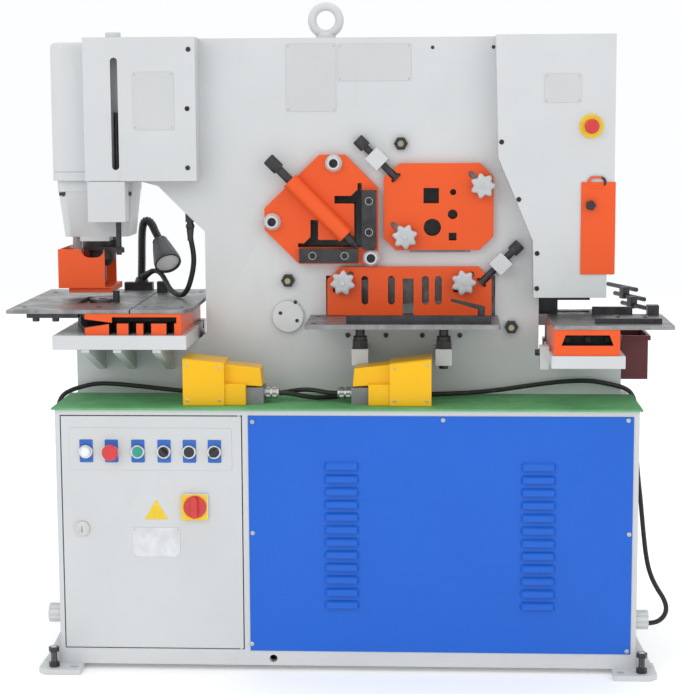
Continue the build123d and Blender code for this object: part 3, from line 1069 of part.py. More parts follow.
# Notch slide: two cheeks on a block, with the link pin, over the stepped notching punch
CHEEK_GAP = 0.5
CHEEK_Z = (975.0, 1130.0)
SLIDE_BLOCK_TOP = 981.0
SLIDE_BLOCK_BOTTOM = 930.0
HEEL_X = 553.0
HEEL_Z = 900.0
with BuildPart() as notch_slide:
    block((NOTCH_PUNCH_X[0] + 2, NOTCH_PUNCH_X[1]), (-HALF_GAP + CHEEK_GAP, HALF_GAP - CHEEK_GAP), CHEEK_Z)
    block((NOTCH_PUNCH_X[0], NOTCH_PUNCH_X[1] + 1), (ARM_FACE - 1, -ARM_FACE + 1), (SLIDE_BLOCK_TOP, CHEEK_Z[1] + 1),
          Mode.SUBTRACT)
    block(NOTCH_PUNCH_X, (-NOTCH_PUNCH_DEPTH / 2, NOTCH_PUNCH_DEPTH / 2), (SLIDE_BLOCK_BOTTOM, CHEEK_Z[0]))
    block((NOTCH_PUNCH_X[0], HEEL_X), (-NOTCH_PUNCH_DEPTH / 2, NOTCH_PUNCH_DEPTH / 2), (HEEL_Z, SLIDE_BLOCK_BOTTOM))
    with BuildSketch(facing(HALF_GAP - CHEEK_GAP)):
        with Locations((LINK_X, LINK_Z)):
            Circle(LINK_RADIUS)
    extrude(amount=ARM_GAP - 2 * CHEEK_GAP)
notch_slide.part.label = "notch_slide"
export_step(notch_slide.part, "parts/notch_slide.step")

# Shear cylinder on the shoulder of the plates, and its piston that pushes the arm down
CYLINDER_TOP = 1604.0
GLAND = 40.0
PAD_GAP = 4.0
ARM_PAD_Z = 1181.0
with BuildPart() as shear_cylinder:
    with BuildSketch(Plane.XY.offset(CYLINDER_SEAT)):
        with Locations((LINK_X - 8, 0)):
            RectangleRounded(152, 2 * SHEAR_CYLINDER_RADIUS, 12)
    extrude(amount=20)
    with Locations((LINK_X - 8, 0, (CYLINDER_SEAT + CYLINDER_TOP) / 2)):
        Cylinder(SHEAR_CYLINDER_RADIUS, CYLINDER_TOP - CYLINDER_SEAT)
    with Locations((LINK_X - 8, 0, (CYLINDER_SEAT + GLAND + CYLINDER_TOP - 20) / 2)):
        Cylinder(SHEAR_BORE, CYLINDER_TOP - 20 - CYLINDER_SEAT - GLAND, mode=Mode.SUBTRACT)
    with Locations((LINK_X - 8, 0, CYLINDER_SEAT)):
        Cylinder(SHEAR_ROD_RADIUS + RUNNING, 3 * GLAND, mode=Mode.SUBTRACT)
shear_cylinder.part.label = "shear_cylinder"
export_step(shear_cylinder.part, "parts/shear_cylinder.step")

with BuildPart() as shear_piston:
    with BuildSketch(Plane.XY.offset(ARM_PAD_Z + PAD_GAP)):
        with Locations((LINK_X - 8, 0)):
            Circle(SHEAR_ROD_RADIUS)
    extrude(amount=CYLINDER_TOP - 60 - ARM_PAD_Z - PAD_GAP)
    with BuildSketch(Plane.XY.offset(CYLINDER_TOP - 60)):
        with Locations((LINK_X - 8, 0)):
            Circle(SHEAR_BORE - RUNNING)
    extrude(amount=35)
    fillet(shear_piston.faces().sort_by(Axis.Z)[0].edges(), 8)
shear_piston.part.label = "shear_piston"
export_step(shear_piston.part, "parts/shear_piston.step")

# Notcher bed, bolster and table, cut through under the punch
NOTCH_BED_Y = (-326.0, REAR_FACE)
NOTCH_TABLE_X = (524.0, 823.0)
NOTCH_TABLE_Y = (-325.0, -NOTCH_DIE_Y)
NOTCH_BOLSTER_X = (524.0, 688.0)
SIDE_BLOCK = ((495.0, 518.0), (-232.0, -190.0), (773.0, 833.0))
with BuildPart() as notch_bed:
    block(NOTCH_BED_X, NOTCH_BED_Y, (NOTCH_SEAT, NOTCH_BED_TOP))
    block((NOTCH_BED_X[0] - 1, NOTCH_HOLE_X[1] + 3), (-NOTCH_HOLE_Y - 3, NOTCH_HOLE_Y + 3),
          (NOTCH_SEAT - 1, NOTCH_BED_TOP + 1), Mode.SUBTRACT)
    block(*SIDE_BLOCK)
    with BuildSketch(Plane.YZ.offset(SIDE_BLOCK[0][0])):
        with Locations((sum(SIDE_BLOCK[1]) / 2, sum(SIDE_BLOCK[2]) / 2 + 12)):
            RegularPolygon(9, 6)
    extrude(amount=-12)
notch_bed.part.label = "notch_bed"
export_step(notch_bed.part, "parts/notch_bed.step")

NOTCH_RECESS_Z = (NOTCH_BED_TOP + 26, NOTCH_BED_TOP + 52)
with BuildPart() as notch_bolster:
    block(NOTCH_BOLSTER_X, (-322, NOTCH_DIE_Y), (NOTCH_BED_TOP, NOTCH_BOLSTER_TOP))
    block((NOTCH_DIE_X[0] - 1, NOTCH_DIE_X[1] + 1), (-NOTCH_DIE_Y, NOTCH_DIE_Y + 1),
          (NOTCH_TABLE_TOP - NOTCH_DIE_HEIGHT, NOTCH_BOLSTER_TOP + 1), Mode.SUBTRACT)
    block((NOTCH_BOLSTER_X[0] - 1, NOTCH_HOLE_X[1] + 3), (-NOTCH_HOLE_Y - 3, NOTCH_HOLE_Y + 3),
          (NOTCH_BED_TOP - 1, NOTCH_BOLSTER_TOP + 1), Mode.SUBTRACT)
    with BuildSketch(facing(-322 + 40)):
        with BuildLine():
            Polyline((543, NOTCH_RECESS_Z[0]), (672, NOTCH_RECESS_Z[0]), (662, NOTCH_RECESS_Z[1]),
                     (553, NOTCH_RECESS_Z[1]), close=True)
        make_face()
    extrude(amount=41, mode=Mode.SUBTRACT)
    with BuildSketch(facing(-282)):
        with Locations(*[(x, NOTCH_RECESS_Z[0] + 12) for x in (558, 611, 660)]):
            RegularPolygon(9, 6)
    extrude(amount=14)
notch_bolster.part.label = "notch_bolster"
export_step(notch_bolster.part, "parts/notch_bolster.step")

with BuildPart() as notch_table:
    block(NOTCH_TABLE_X, NOTCH_TABLE_Y, (NOTCH_BOLSTER_TOP, NOTCH_TABLE_TOP))
    for x in (700, 770):
        block((x - 6, x + 6), (-235, -85), (NOTCH_BOLSTER_TOP - 1, NOTCH_TABLE_TOP + 1), Mode.SUBTRACT)
    chamfer(notch_table.edges().filter_by(Axis.Z).sort_by(Axis.X)[-2:], 3)
notch_table.part.label = "notch_table"
export_step(notch_table.part, "parts/notch_table.step")

# Black gauges on the punch and notcher tables
ROD_DIRECTION = (-0.34, 0.94)
with BuildPart() as table_gauges:
    block((-650, -570), (TABLE_LEFT_Y[1] - 32, TABLE_LEFT_Y[1] - 4), (PUNCH_TABLE_TOP, PUNCH_TABLE_TOP + 22))
    with BuildSketch(Plane.XY.offset(PUNCH_TABLE_TOP)):
        with Locations((-616, -94)):
            Circle(9)
        with Locations((-532, 170)):
            RectangleRounded(30, 34, 3)
    extrude(amount=30)
    block((630, 797), (-277, -262), (NOTCH_TABLE_TOP, NOTCH_TABLE_TOP + 13))
    block((640, 745), (NOTCH_TABLE_Y[1] - 16, NOTCH_TABLE_Y[1] - 2), (NOTCH_TABLE_TOP, NOTCH_TABLE_TOP + 20))
    block((782, 812), (NOTCH_TABLE_Y[1] - 36, NOTCH_TABLE_Y[1] - 4), (NOTCH_TABLE_TOP, NOTCH_TABLE_TOP + 26))
    for step in range(3):
        start = (797 - 9 * step, NOTCH_TABLE_Y[1] - 20 + 110 * step, NOTCH_TABLE_TOP + 14 + 15 * step)
        rod = Plane(origin=start, x_dir=(0, 0, 1), z_dir=(ROD_DIRECTION[0], ROD_DIRECTION[1], 0))
        with BuildSketch(rod):
            Circle(6)
        extrude(amount=180)
        if step < 2:
            with BuildSketch(rod.offset(110)):
                with Locations((7, 0)):
                    Rectangle(32, 20)
            extrude(amount=22)
table_gauges.part.label = "table_gauges"
export_step(table_gauges.part, "parts/table_gauges.step")

# Scrap box hung on the right edge of the plates
SCRAP_X = FRAME_RIGHT + 70
SCRAP_Z = (726.0, 842.0)
with BuildPart() as scrap_box:
    block((FRAME_RIGHT, SCRAP_X), (PLATE_FRONT, REAR_FACE), SCRAP_Z)
    block((FRAME_RIGHT + COVER_SHEET, SCRAP_X - COVER_SHEET), (PLATE_FRONT + COVER_SHEET, REAR_FACE - COVER_SHEET),
          (SCRAP_Z[0] + COVER_SHEET, SCRAP_Z[1] + 1), Mode.SUBTRACT)
    block((FRAME_RIGHT, SCRAP_X + 6), (PLATE_FRONT - 6, PLATE_FRONT), (SCRAP_Z[1] - 12, SCRAP_Z[1]))
    block((SCRAP_X, SCRAP_X + 6), (PLATE_FRONT - 6, REAR_FACE), (SCRAP_Z[1] - 12, SCRAP_Z[1]))
scrap_box.part.label = "scrap_box"
export_step(scrap_box.part, "parts/scrap_box.step")

# Lifting eye on the middle of the top
EYE_X = -61.0
EYE_MAJOR = 36.0
EYE_MINOR = 11.5
EYE_Z = FRAME_TOP + 48
with BuildPart() as lifting_eye:
    with Locations(Location((EYE_X, 0, EYE_Z), (90, 0, 0))):
        Torus(EYE_MAJOR, EYE_MINOR)
    with BuildSketch(Plane.XY.offset(FRAME_TOP)):
        with Locations((EYE_X, 0)):
            Circle(26)
    extrude(amount=8)
    with BuildSketch(Plane.XY.offset(FRAME_TOP + 8)):
        with Locations((EYE_X, 0)):
            Circle(22)
    extrude(amount=10, taper=25)
lifting_eye.part.label = "lifting_eye"
export_step(lifting_eye.part, "parts/lifting_eye.step")

# Work lamp: a gooseneck on the rear gauge block with a conical head, the gland for its lead on
# its foot, and the lead's collar on a bracket under the slanted edge of the throat
LAMP_FOOT = (-603.0, TABLE_LEFT_Y[1] - 18)
LAMP_FOOT_Z = PUNCH_TABLE_TOP + 22
NECK_RADIUS = 10.0
NECK_POINTS = [(LAMP_FOOT[0], LAMP_FOOT[1], LAMP_FOOT_Z + 12), (-600, 236, 1060), (-597, 233, 1104), (-589, 229, 1126),
               (-573, 223, 1124), (-558, 216, 1098)]
HEAD_BACK = (-545.0, 213.0, 1072.0)
HEAD_AIM = (0.344, -0.682, -0.646)
HEAD_RADII = (21.0, 36.0)
HEAD_CONE = 76.0
HEAD_LENGTH = 90.0
LAMP_GLAND = (-583.0, 221.0, 978.0)
LAMP_GLAND_AXIS = (-15, 12, -9)
LAMP_GLAND_RADIUS = 9.0
LAMP_GLAND_LENGTH = 22.0
COLLAR = (-421.0, -60.0)
COLLAR_Z = (1125.0, 1146.0)
BRACKET_X = (THROAT_X - 52, THROAT_X - 30)
BRACKET_TOP = (JAW_UNDERSIDE - 81, JAW_UNDERSIDE - 131 + 30 * 43 / 45)
with BuildPart() as work_lamp:
    with BuildLine():
        Spline(*NECK_POINTS, tangents=((0, 0, 1), (0.35, -0.3, -1)))
    with BuildSketch(Plane(origin=NECK_POINTS[0], z_dir=(0, 0, 1))):
        Circle(NECK_RADIUS)
    sweep()
    with BuildSketch(Plane.XY.offset(LAMP_FOOT_Z)):
        with Locations(LAMP_FOOT):
            Circle(20)
    extrude(amount=14, taper=20)
    lamp_aim = Plane(origin=HEAD_BACK, z_dir=HEAD_AIM)
    with BuildSketch(lamp_aim):
        Circle(HEAD_RADII[0])
    with BuildSketch(lamp_aim.offset(HEAD_CONE)):
        Circle(HEAD_RADII[1])
    loft()
    with BuildSketch(lamp_aim.offset(HEAD_CONE)):
        Circle(HEAD_RADII[1])
    extrude(amount=HEAD_LENGTH - HEAD_CONE)
    with BuildSketch(lamp_aim.offset(HEAD_LENGTH)):
        Circle(HEAD_RADII[1] - 3)
    extrude(amount=-6, mode=Mode.SUBTRACT)
    with BuildSketch(Plane(origin=LAMP_GLAND, z_dir=LAMP_GLAND_AXIS)):
        Circle(LAMP_GLAND_RADIUS)
    extrude(amount=LAMP_GLAND_LENGTH)
    with BuildSketch(facing(COLLAR[1] + 10)):
        Polygon((BRACKET_X[0], BRACKET_TOP[0]), (THROAT_X - 45, JAW_UNDERSIDE - 88), (BRACKET_X[1], BRACKET_TOP[1]),
                (BRACKET_X[1], COLLAR_Z[1] - 4), (BRACKET_X[0], COLLAR_Z[1] - 4), align=None)
    extrude(amount=20)
    with BuildSketch(Plane.XY.offset(COLLAR_Z[0])):
        with Locations(COLLAR):
            Circle(LAMP_GLAND_RADIUS)
    extrude(amount=COLLAR_Z[1] - COLLAR_Z[0])
work_lamp.part.label = "work_lamp"
export_step(work_lamp.part, "parts/work_lamp.step")

# Door: a sheet tray with return flanges, pin bosses and six button holes
SWITCH_AT = (DOOR_X[0] + 342, 432.0)
LOCK_AT = (DOOR_X[0] + 49, 372.0)
FLANGE = (DOOR_X[0] + DOOR_SHEET, DOOR_X[1] - DOOR_SHEET)
LOCK_RADIUS = 9.0
with BuildPart() as door:
    block(DOOR_X, (FRONT, FRONT + DOOR_DEPTH), DOOR_Z)
    block(FLANGE, (FRONT + DOOR_SHEET, FRONT + DOOR_DEPTH), (DOOR_Z[0] + DOOR_SHEET, DOOR_Z[1] - DOOR_SHEET),
          Mode.SUBTRACT)
    block((DOOR_X[1] - 2 * HINGE_INSET, DOOR_X[1]), (FRONT, FRONT + 12), (DOOR_Z[0], DOOR_Z[0] + 14))
    block((DOOR_X[1] - 2 * HINGE_INSET, DOOR_X[1]), (FRONT, FRONT + 12), (DOOR_Z[1] - 14, DOOR_Z[1]))
    with Locations((HINGE_X, HINGE_Y, DOOR_Z[0]), (HINGE_X, HINGE_Y, DOOR_Z[1])):
        Cylinder(HINGE_RADIUS + RUNNING, 2 * HINGE_REACH, mode=Mode.SUBTRACT)
    with BuildSketch(facing(FRONT + DOOR_SHEET)):
        with Locations(*[(x, BUTTON_Z) for x in BUTTON_X], SWITCH_AT):
            Circle(STEM_RADIUS + RUNNING)
        with Locations(LOCK_AT):
            Circle(LOCK_RADIUS + RUNNING)
    extrude(amount=DOOR_SHEET, mode=Mode.SUBTRACT)
door.part.label = "door"
export_step(door.part, "parts/door.step")

# Fittings on the door: six bezels, the lens of the pilot lamp and the main switch's base
LAMP_X = BUTTON_X[0]
with BuildPart() as door_fittings:
    with BuildSketch(facing(FRONT)):
        with Locations(*[(x, BUTTON_Z) for x in BUTTON_X]):
            Circle(BEZEL_RADIUS)
            Circle(CAP_RADIUS + CAP_GAP, mode=Mode.SUBTRACT)
    extrude(amount=BEZEL_HEIGHT)
    with BuildSketch(facing(FRONT)):
        with Locations((LAMP_X, BUTTON_Z)):
            Circle(CAP_RADIUS)
    extrude(amount=BEZEL_HEIGHT + 5)
    with BuildSketch(facing(FRONT)):
        with Locations(SWITCH_AT):
            RectangleRounded(66, 66, 4)
            Circle(STEM_RADIUS + RUNNING, mode=Mode.SUBTRACT)
    extrude(amount=8)
door_fittings.part.label = "door_fittings"
export_step(door_fittings.part, "parts/door_fittings.step")

# Door lock: a round escutcheon that turns with a cam behind the door's stop
CAM_Y = INNER_Y[0] + 1
with BuildPart() as door_lock:
    with BuildSketch(facing(FRONT)):
        with Locations(LOCK_AT):
            Circle(19)
            Rectangle(4, 16, mode=Mode.SUBTRACT)
    extrude(amount=5)
    with BuildSketch(facing(CAM_Y + 6)):
        with Locations(LOCK_AT):
            Circle(LOCK_RADIUS)
    extrude(amount=CAM_Y + 6 - FRONT)
    block((LOCK_AT[0] - 8, LOCK_AT[0] + 8), (CAM_Y, CAM_Y + 4), (LOCK_AT[1] - 46, LOCK_AT[1]))
door_lock.part.label = "door_lock"
export_step(door_lock.part, "parts/door_lock.step")


# Buttons that spring back, and the two selectors
CAP = 8.0
STEM_BACK = 26.0
with BuildPart() as stop_button:
    with BuildSketch(facing(FRONT - BEZEL_HEIGHT - BUTTON_TRAVEL - 1)):
        with Locations((BUTTON_X[1], BUTTON_Z)):
            Circle(20.5)
    extrude(amount=14)
    fillet(stop_button.faces().sort_by(Axis.Y)[0].edges(), 5)
    with BuildSketch(facing(FRONT + STEM_BACK)):
        with Locations((BUTTON_X[1], BUTTON_Z)):
            Circle(STEM_RADIUS)
    extrude(amount=STEM_BACK + BEZEL_HEIGHT + BUTTON_TRAVEL + 1)
stop_button.part.label = "stop_button"
export_step(stop_button.part, "parts/stop_button.step")

with BuildPart() as start_button:
    with BuildSketch(facing(FRONT - BEZEL_HEIGHT - 2 + CAP)):
        with Locations((BUTTON_X[2], BUTTON_Z)):
            Circle(CAP_RADIUS)
    extrude(amount=CAP)
    with BuildSketch(facing(FRONT + STEM_BACK)):
        with Locations((BUTTON_X[2], BUTTON_Z)):
            Circle(STEM_RADIUS)
    extrude(amount=STEM_BACK + BEZEL_HEIGHT + 2 - CAP)
start_button.part.label = "start_button"
export_step(start_button.part, "parts/start_button.step")

with BuildPart() as jog_button:
    with BuildSketch(facing(FRONT - BEZEL_HEIGHT - 2 + CAP)):
        with Locations((BUTTON_X[4], BUTTON_Z)):
            Circle(CAP_RADIUS)
    extrude(amount=CAP)
    with BuildSketch(facing(FRONT + STEM_BACK)):
        with Locations((BUTTON_X[4], BUTTON_Z)):
            Circle(STEM_RADIUS)
    extrude(amount=STEM_BACK + BEZEL_HEIGHT + 2 - CAP)
jog_button.part.label = "jog_button"
export_step(jog_button.part, "parts/jog_button.step")

with BuildPart() as selector_left:
    with BuildSketch(facing(FRONT - 2)):
        with Locations((BUTTON_X[3], BUTTON_Z)):
            Circle(CAP_RADIUS)
    extrude(amount=BEZEL_HEIGHT)
    with BuildSketch(facing(FRONT - 2 - BEZEL_HEIGHT)):
        with Locations((BUTTON_X[3], BUTTON_Z)):
            SlotOverall(25, 8, rotation=135)
    extrude(amount=11)
    with BuildSketch(facing(FRONT + STEM_BACK)):
        with Locations((BUTTON_X[3], BUTTON_Z)):
            Circle(STEM_RADIUS)
    extrude(amount=STEM_BACK + 2)
selector_left.part.label = "selector_left"
export_step(selector_left.part, "parts/selector_left.step")

with BuildPart() as selector_right:
    with BuildSketch(facing(FRONT - 2)):
        with Locations((BUTTON_X[5], BUTTON_Z)):
            Circle(CAP_RADIUS)
    extrude(amount=BEZEL_HEIGHT)
    with BuildSketch(facing(FRONT - 2 - BEZEL_HEIGHT)):
        with Locations((BUTTON_X[5], BUTTON_Z)):
            SlotOverall(25, 8, rotation=45)
    extrude(amount=11)
    with BuildSketch(facing(FRONT + STEM_BACK)):
        with Locations((BUTTON_X[5], BUTTON_Z)):
            Circle(STEM_RADIUS)
    extrude(amount=STEM_BACK + 2)
selector_right.part.label = "selector_right"
export_step(selector_right.part, "parts/selector_right.step")

with BuildPart() as main_switch:
    with BuildSketch(facing(FRONT - 8.3)):
        with Locations(SWITCH_AT):
            Circle(29)
    extrude(amount=6)
    with BuildSketch(facing(FRONT - 14.3)):
        with Locations(SWITCH_AT):
            SlotOverall(54, 15, rotation=90)
    extrude(amount=16)
    with BuildSketch(facing(FRONT + STEM_BACK)):
        with Locations(SWITCH_AT):
            Circle(STEM_RADIUS)
    extrude(amount=STEM_BACK + 8.3)
main_switch.part.label = "main_switch"
export_step(main_switch.part, "parts/main_switch.step")

# Hydraulic unit in the right compartment: tank, motor and valve block
TANK_X = (RIGHT - 560, RIGHT - 80)
TANK_Y = (-200.0, 220.0)
TANK_Z = (INNER_Z[0], 300.0)
with BuildPart() as hydraulic_unit:
    block(TANK_X, TANK_Y, TANK_Z)
    with Locations((TANK_X[0] + 120, 10, TANK_Z[1] + 140)):
        Cylinder(95, 280)
    block((TANK_X[0] + 270, TANK_X[0] + 420), (-70, 70), (TANK_Z[1], TANK_Z[1] + 110))
    # terminal box on the motor and the filler cap on the tank
    block((TANK_X[0] + 70, TANK_X[0] + 170), (-115, -60), (TANK_Z[1] + 150, TANK_Z[1] + 230))
    with Locations((TANK_X[0] + 370, 150, TANK_Z[1] + 15)):
        Cylinder(30, 30)
hydraulic_unit.part.label = "hydraulic_unit"
export_step(hydraulic_unit.part, "parts/hydraulic_unit.step")

# Electric panel on the rear wall behind the door, with two rows of contactors
PANEL_BACK = INNER_Y[1]
with BuildPart() as electric_panel:
    block((DOOR_X[0] + 35, DOOR_X[0] + 425), (PANEL_BACK - 4, PANEL_BACK), (130, 600))
    with BuildSketch(facing(PANEL_BACK - 4)):
        with Locations((DOOR_X[0] + 230, 480)):
            with GridLocations(80, 0, 4, 1):
                Rectangle(54, 84)
        with Locations((DOOR_X[0] + 230, 300)):
            with GridLocations(58, 0, 5, 1):
                Rectangle(44, 90)
    extrude(amount=70)
electric_panel.part.label = "electric_panel"
export_step(electric_panel.part, "parts/electric_panel.step")

# Fasteners: foot levelling bolts, guide studs with nuts, angle-plate bolts and table jack screws
LEVEL_TOP = 66.0
with BuildPart() as fasteners:
    with BuildSketch():
        with GridLocations(2 * LEVEL_X, 2 * LEVEL_Y, 2, 2):
            Circle(LEVEL_RADIUS)
    extrude(amount=LEVEL_TOP)
    with BuildSketch(Plane.XY.offset(FOOT_THICKNESS), Plane.XY.offset(LEVEL_TOP - 12)):
        with GridLocations(2 * LEVEL_X, 2 * LEVEL_Y, 2, 2):
            RegularPolygon(12, 6, major_radius=False)
    extrude(amount=12)
    for face, way in ((PLATE_FRONT, 1), (REAR_FACE, -1)):
        with BuildSketch(facing(face)):
            with Locations(*GUIDE_STUDS):
                Circle(GUIDE_STUD_RADIUS)
        extrude(amount=way * 24)
        with BuildSketch(facing(face)):
            with Locations(*GUIDE_STUDS):
                Circle(GUIDE_STUD_RADIUS)
        extrude(amount=-way * (PLATE_THICKNESS + HALF_GAP - ARM_THICKNESS / 2 - 1))
        with BuildSketch(facing(face)):
            with Locations(*GUIDE_STUDS):
                RegularPolygon(16, 6, major_radius=False)
        extrude(amount=way * 16)
    with BuildSketch(facing(TOOL_FRONT)):
        with Locations(*ANGLE_BOLTS):
            Circle(22.5)
    extrude(amount=4)
    with BuildSketch(facing(TOOL_FRONT - 4)):
        with Locations(*ANGLE_BOLTS):
            Circle(15)
    extrude(amount=18)
    with BuildSketch(facing(TOOL_FRONT)):
        with Locations(*ANGLE_BOLTS):
            Circle(ANGLE_BOLT_RADIUS)
    extrude(amount=-TOOL_PLATE - ANGLE_BOLT_DEPTH)
    with BuildSketch(facing(TOOL_FRONT - 22)):
        with Locations(*ANGLE_BOLTS):
            RegularPolygon(8, 6, major_radius=False)
    extrude(amount=-10, mode=Mode.SUBTRACT)
    with BuildSketch(Plane.XY.offset(JACK_BLOCK_Z[0] - 10)):
        with Locations(*[(x, JACK_Y) for x in JACK_X]):
            Circle(JACK_RADIUS)
    extrude(amount=TABLE_Z - TABLE_PLATE - JACK_BLOCK_Z[0] + 10)
    with BuildSketch(Plane.XY.offset(JACK_BLOCK_Z[1])):
        with Locations(*[(x, JACK_Y) for x in JACK_X]):
            Circle(18)
    extrude(amount=32)
fasteners.part.label = "fasteners"
export_step(fasteners.part, "parts/fasteners.step")

# Foot pedals: a grey base with its hose gland, a yellow hood and a treadle, the right one mirrored
PEDAL_BACK_Y = PEDAL_FRONT_Y + PEDAL_WIDTH
PEDAL_WALL = 4.0
STEP_X = PEDAL_MOUTH_X + PEDAL_HOOD
HOOD_END = PEDAL_MOUTH_X + PEDAL_LENGTH
PEDAL_Y = (PEDAL_FRONT_Y + PEDAL_BACK_Y) / 2
BASE_END = HOOD_END + 8
BASE_PLATE = 8.0
GLAND_Z = MAT_TOP + 25
GLAND_LENGTH = 35.0
GLAND_RADIUS = 11.0
TREADLE_PIVOT = (STEP_X - 22, MAT_TOP + 34)
PIN_RADIUS = 3.0
EAR_Y = ((PEDAL_FRONT_Y + 4.5, PEDAL_FRONT_Y + 8), (PEDAL_BACK_Y - 8, PEDAL_BACK_Y - 4.5))
mirror_plane = Plane.YZ.offset(PEDAL_MIRROR_X)
hood_side = [(PEDAL_MOUTH_X, MAT_TOP), (STEP_X, MAT_TOP), (STEP_X, MAT_TOP + PEDAL_HEIGHT - 12),
             (PEDAL_MOUTH_X, MAT_TOP + PEDAL_HEIGHT)]
with BuildPart() as pedal_hoods:
    with BuildSketch(facing(PEDAL_BACK_Y)):
        Polygon(*hood_side, align=None)
    extrude(amount=PEDAL_WIDTH)
    with BuildSketch(facing(PEDAL_BACK_Y - 18)):
        Polygon((STEP_X - 5, MAT_TOP + 52), (HOOD_END + 5, MAT_TOP + 46), (HOOD_END, MAT_TOP + 94),
                (STEP_X - 5, MAT_TOP + 104), align=None)
    extrude(amount=PEDAL_WIDTH - 44)
    block((STEP_X - 5, STEP_X + 54), (PEDAL_FRONT_Y + 8, PEDAL_BACK_Y - 8), (MAT_TOP, MAT_TOP + 55))
    fillet(pedal_hoods.edges().filter_by(Axis.X, tolerance=8).group_by(Axis.Z)[-1], 8)
    # the open mouth and the hollow inside
    block((PEDAL_MOUTH_X - 1, STEP_X - 6), (PEDAL_FRONT_Y + PEDAL_WALL, PEDAL_BACK_Y - PEDAL_WALL),
          (MAT_TOP - 1, MAT_TOP + PEDAL_HEIGHT - 26), Mode.SUBTRACT)
    block((STEP_X - 7, HOOD_END + 9), (PEDAL_Y - 36, PEDAL_Y + 36), (MAT_TOP - 1, MAT_TOP + 44), Mode.SUBTRACT)
    mirror(about=mirror_plane)
pedal_hoods.part.label = "pedal_hoods"
export_step(pedal_hoods.part, "parts/pedal_hoods.step")

with BuildPart() as pedal_bases:
    block((PEDAL_MOUTH_X + 12, STEP_X - 7), (PEDAL_FRONT_Y + 6, PEDAL_BACK_Y - 6), (MAT_TOP, MAT_TOP + BASE_PLATE))
    block((STEP_X - 7, BASE_END), (PEDAL_Y - 35.8, PEDAL_Y + 35.8), (MAT_TOP, MAT_TOP + 43.8))
    with BuildSketch(Plane.YZ.offset(BASE_END)):
        with Locations((PEDAL_Y, GLAND_Z)):
            Circle(GLAND_RADIUS)
    extrude(amount=GLAND_LENGTH)
    with BuildSketch(Plane.YZ.offset(BASE_END + 4), Plane.YZ.offset(BASE_END + 21)):
        with Locations((PEDAL_Y, GLAND_Z)):
            RegularPolygon(13, 6, major_radius=False)
    extrude(amount=10)
    # ears with holes for the treadle's pins
    for ear_y in EAR_Y:
        block((TREADLE_PIVOT[0] - 8, TREADLE_PIVOT[0] + 8), ear_y, (MAT_TOP, TREADLE_PIVOT[1] + 9))
    with BuildSketch(facing(PEDAL_BACK_Y)):
        with Locations(TREADLE_PIVOT):
            Circle(PIN_RADIUS + RUNNING)
    extrude(amount=PEDAL_WIDTH, mode=Mode.SUBTRACT)
    mirror(about=mirror_plane)
pedal_bases.part.label = "pedal_bases"
export_step(pedal_bases.part, "parts/pedal_bases.step")

TREADLE_END = PEDAL_MOUTH_X + 16
with BuildPart() as treadle_left:
    with BuildSketch(facing(PEDAL_BACK_Y - 10)):
        Polygon((TREADLE_END, MAT_TOP + 36), (TREADLE_PIVOT[0] + 8, MAT_TOP + 30), (TREADLE_PIVOT[0] + 8, MAT_TOP + 38),
                (TREADLE_END, MAT_TOP + 44), align=None)
    extrude(amount=PEDAL_WIDTH - 20)
    with BuildSketch(facing(PEDAL_BACK_Y - 5)):
        with Locations(TREADLE_PIVOT):
            Circle(PIN_RADIUS)
    extrude(amount=PEDAL_WIDTH - 10)
treadle_left.part.label = "treadle_left"
export_step(treadle_left.part, "parts/treadle_left.step")

with BuildPart() as treadle_right:
    add(mirror(treadle_left.part, about=mirror_plane, mode=Mode.PRIVATE))
treadle_right.part.label = "treadle_right"
export_step(treadle_right.part, "parts/treadle_right.step")


def cord(points, radius, name):
    """Straight runs joined by arcs as large as the runs allow, swept with a round section."""
    corners = [Vector(*p) for p in points]
    runs = [b - a for a, b in zip(corners, corners[1:])]
    turns = [radians(a.get_angle(b)) for a, b in zip(runs, runs[1:])]
    bends = [0.45 * min(a.length, b.length) / tan(turn / 2) for a, b, turn in zip(runs, runs[1:], turns)]
    with BuildLine() as line:
        FilletPolyline(*points, radius=bends)
    path = line.wires()[0]
    print(name, "length", round(path.length), "tightest bend", round(min(bends)))
    with BuildPart() as tube:
        with BuildSketch(Plane(origin=points[0], z_dir=runs[0])):
            Circle(radius)
        sweep(path=path)
    print(name, "volume over section times length",
          round(tube.part.volume / (pi * radius**2 * path.length), 4))
    return tube.part


GLAND_END = BASE_END + GLAND_LENGTH
GLAND_START = 2 * PEDAL_MIRROR_X - GLAND_END
STUB_END = CABINET_WIDTH / 2 + STUB_LENGTH
HOSE_Z = MAT_TOP + HOSE_RADIUS + 1

# Hose of the left pedal: behind the right pedal, over the right edge and down into the right stub
hose_right_points = [
    (GLAND_END, PEDAL_Y, GLAND_Z), (GLAND_END + 26, PEDAL_Y, GLAND_Z), (-118, -222, 703), (-86, -207, 695),
    (-50, -186, HOSE_Z), (-8, -168, HOSE_Z + 1), (45, -153, HOSE_Z), (110, -143, HOSE_Z + 1),
    (178, -137, HOSE_Z), (250, -130, HOSE_Z + 1), (325, -121, 696), (395, -113, 702), (460, -108, 711),
    (520, -104, 719), (580, -102, 725), (638, -101, 726), (690, -94, 715), (724, -80, 705), (746, -64, 689),
    (758, -56, 662), (761, -56, 620), (759, -68, 570), (760, -94, 516), (761, -131, 470), (763, -170, 424),
    (767, -205, 350), (773, -235, 279), (783, -254, 240), (797, -271, 213), (813, -284, 190),
    (820, STUB_Y, 167), (815, STUB_Y, 147), (800, STUB_Y, 132), (782, STUB_Y, 127), (STUB_END, STUB_Y, 127),
]
hose_right = cord(hose_right_points, HOSE_RADIUS, "hose_right")
hose_right.label = "hose_right"
export_step(hose_right, "parts/hose_right.step")

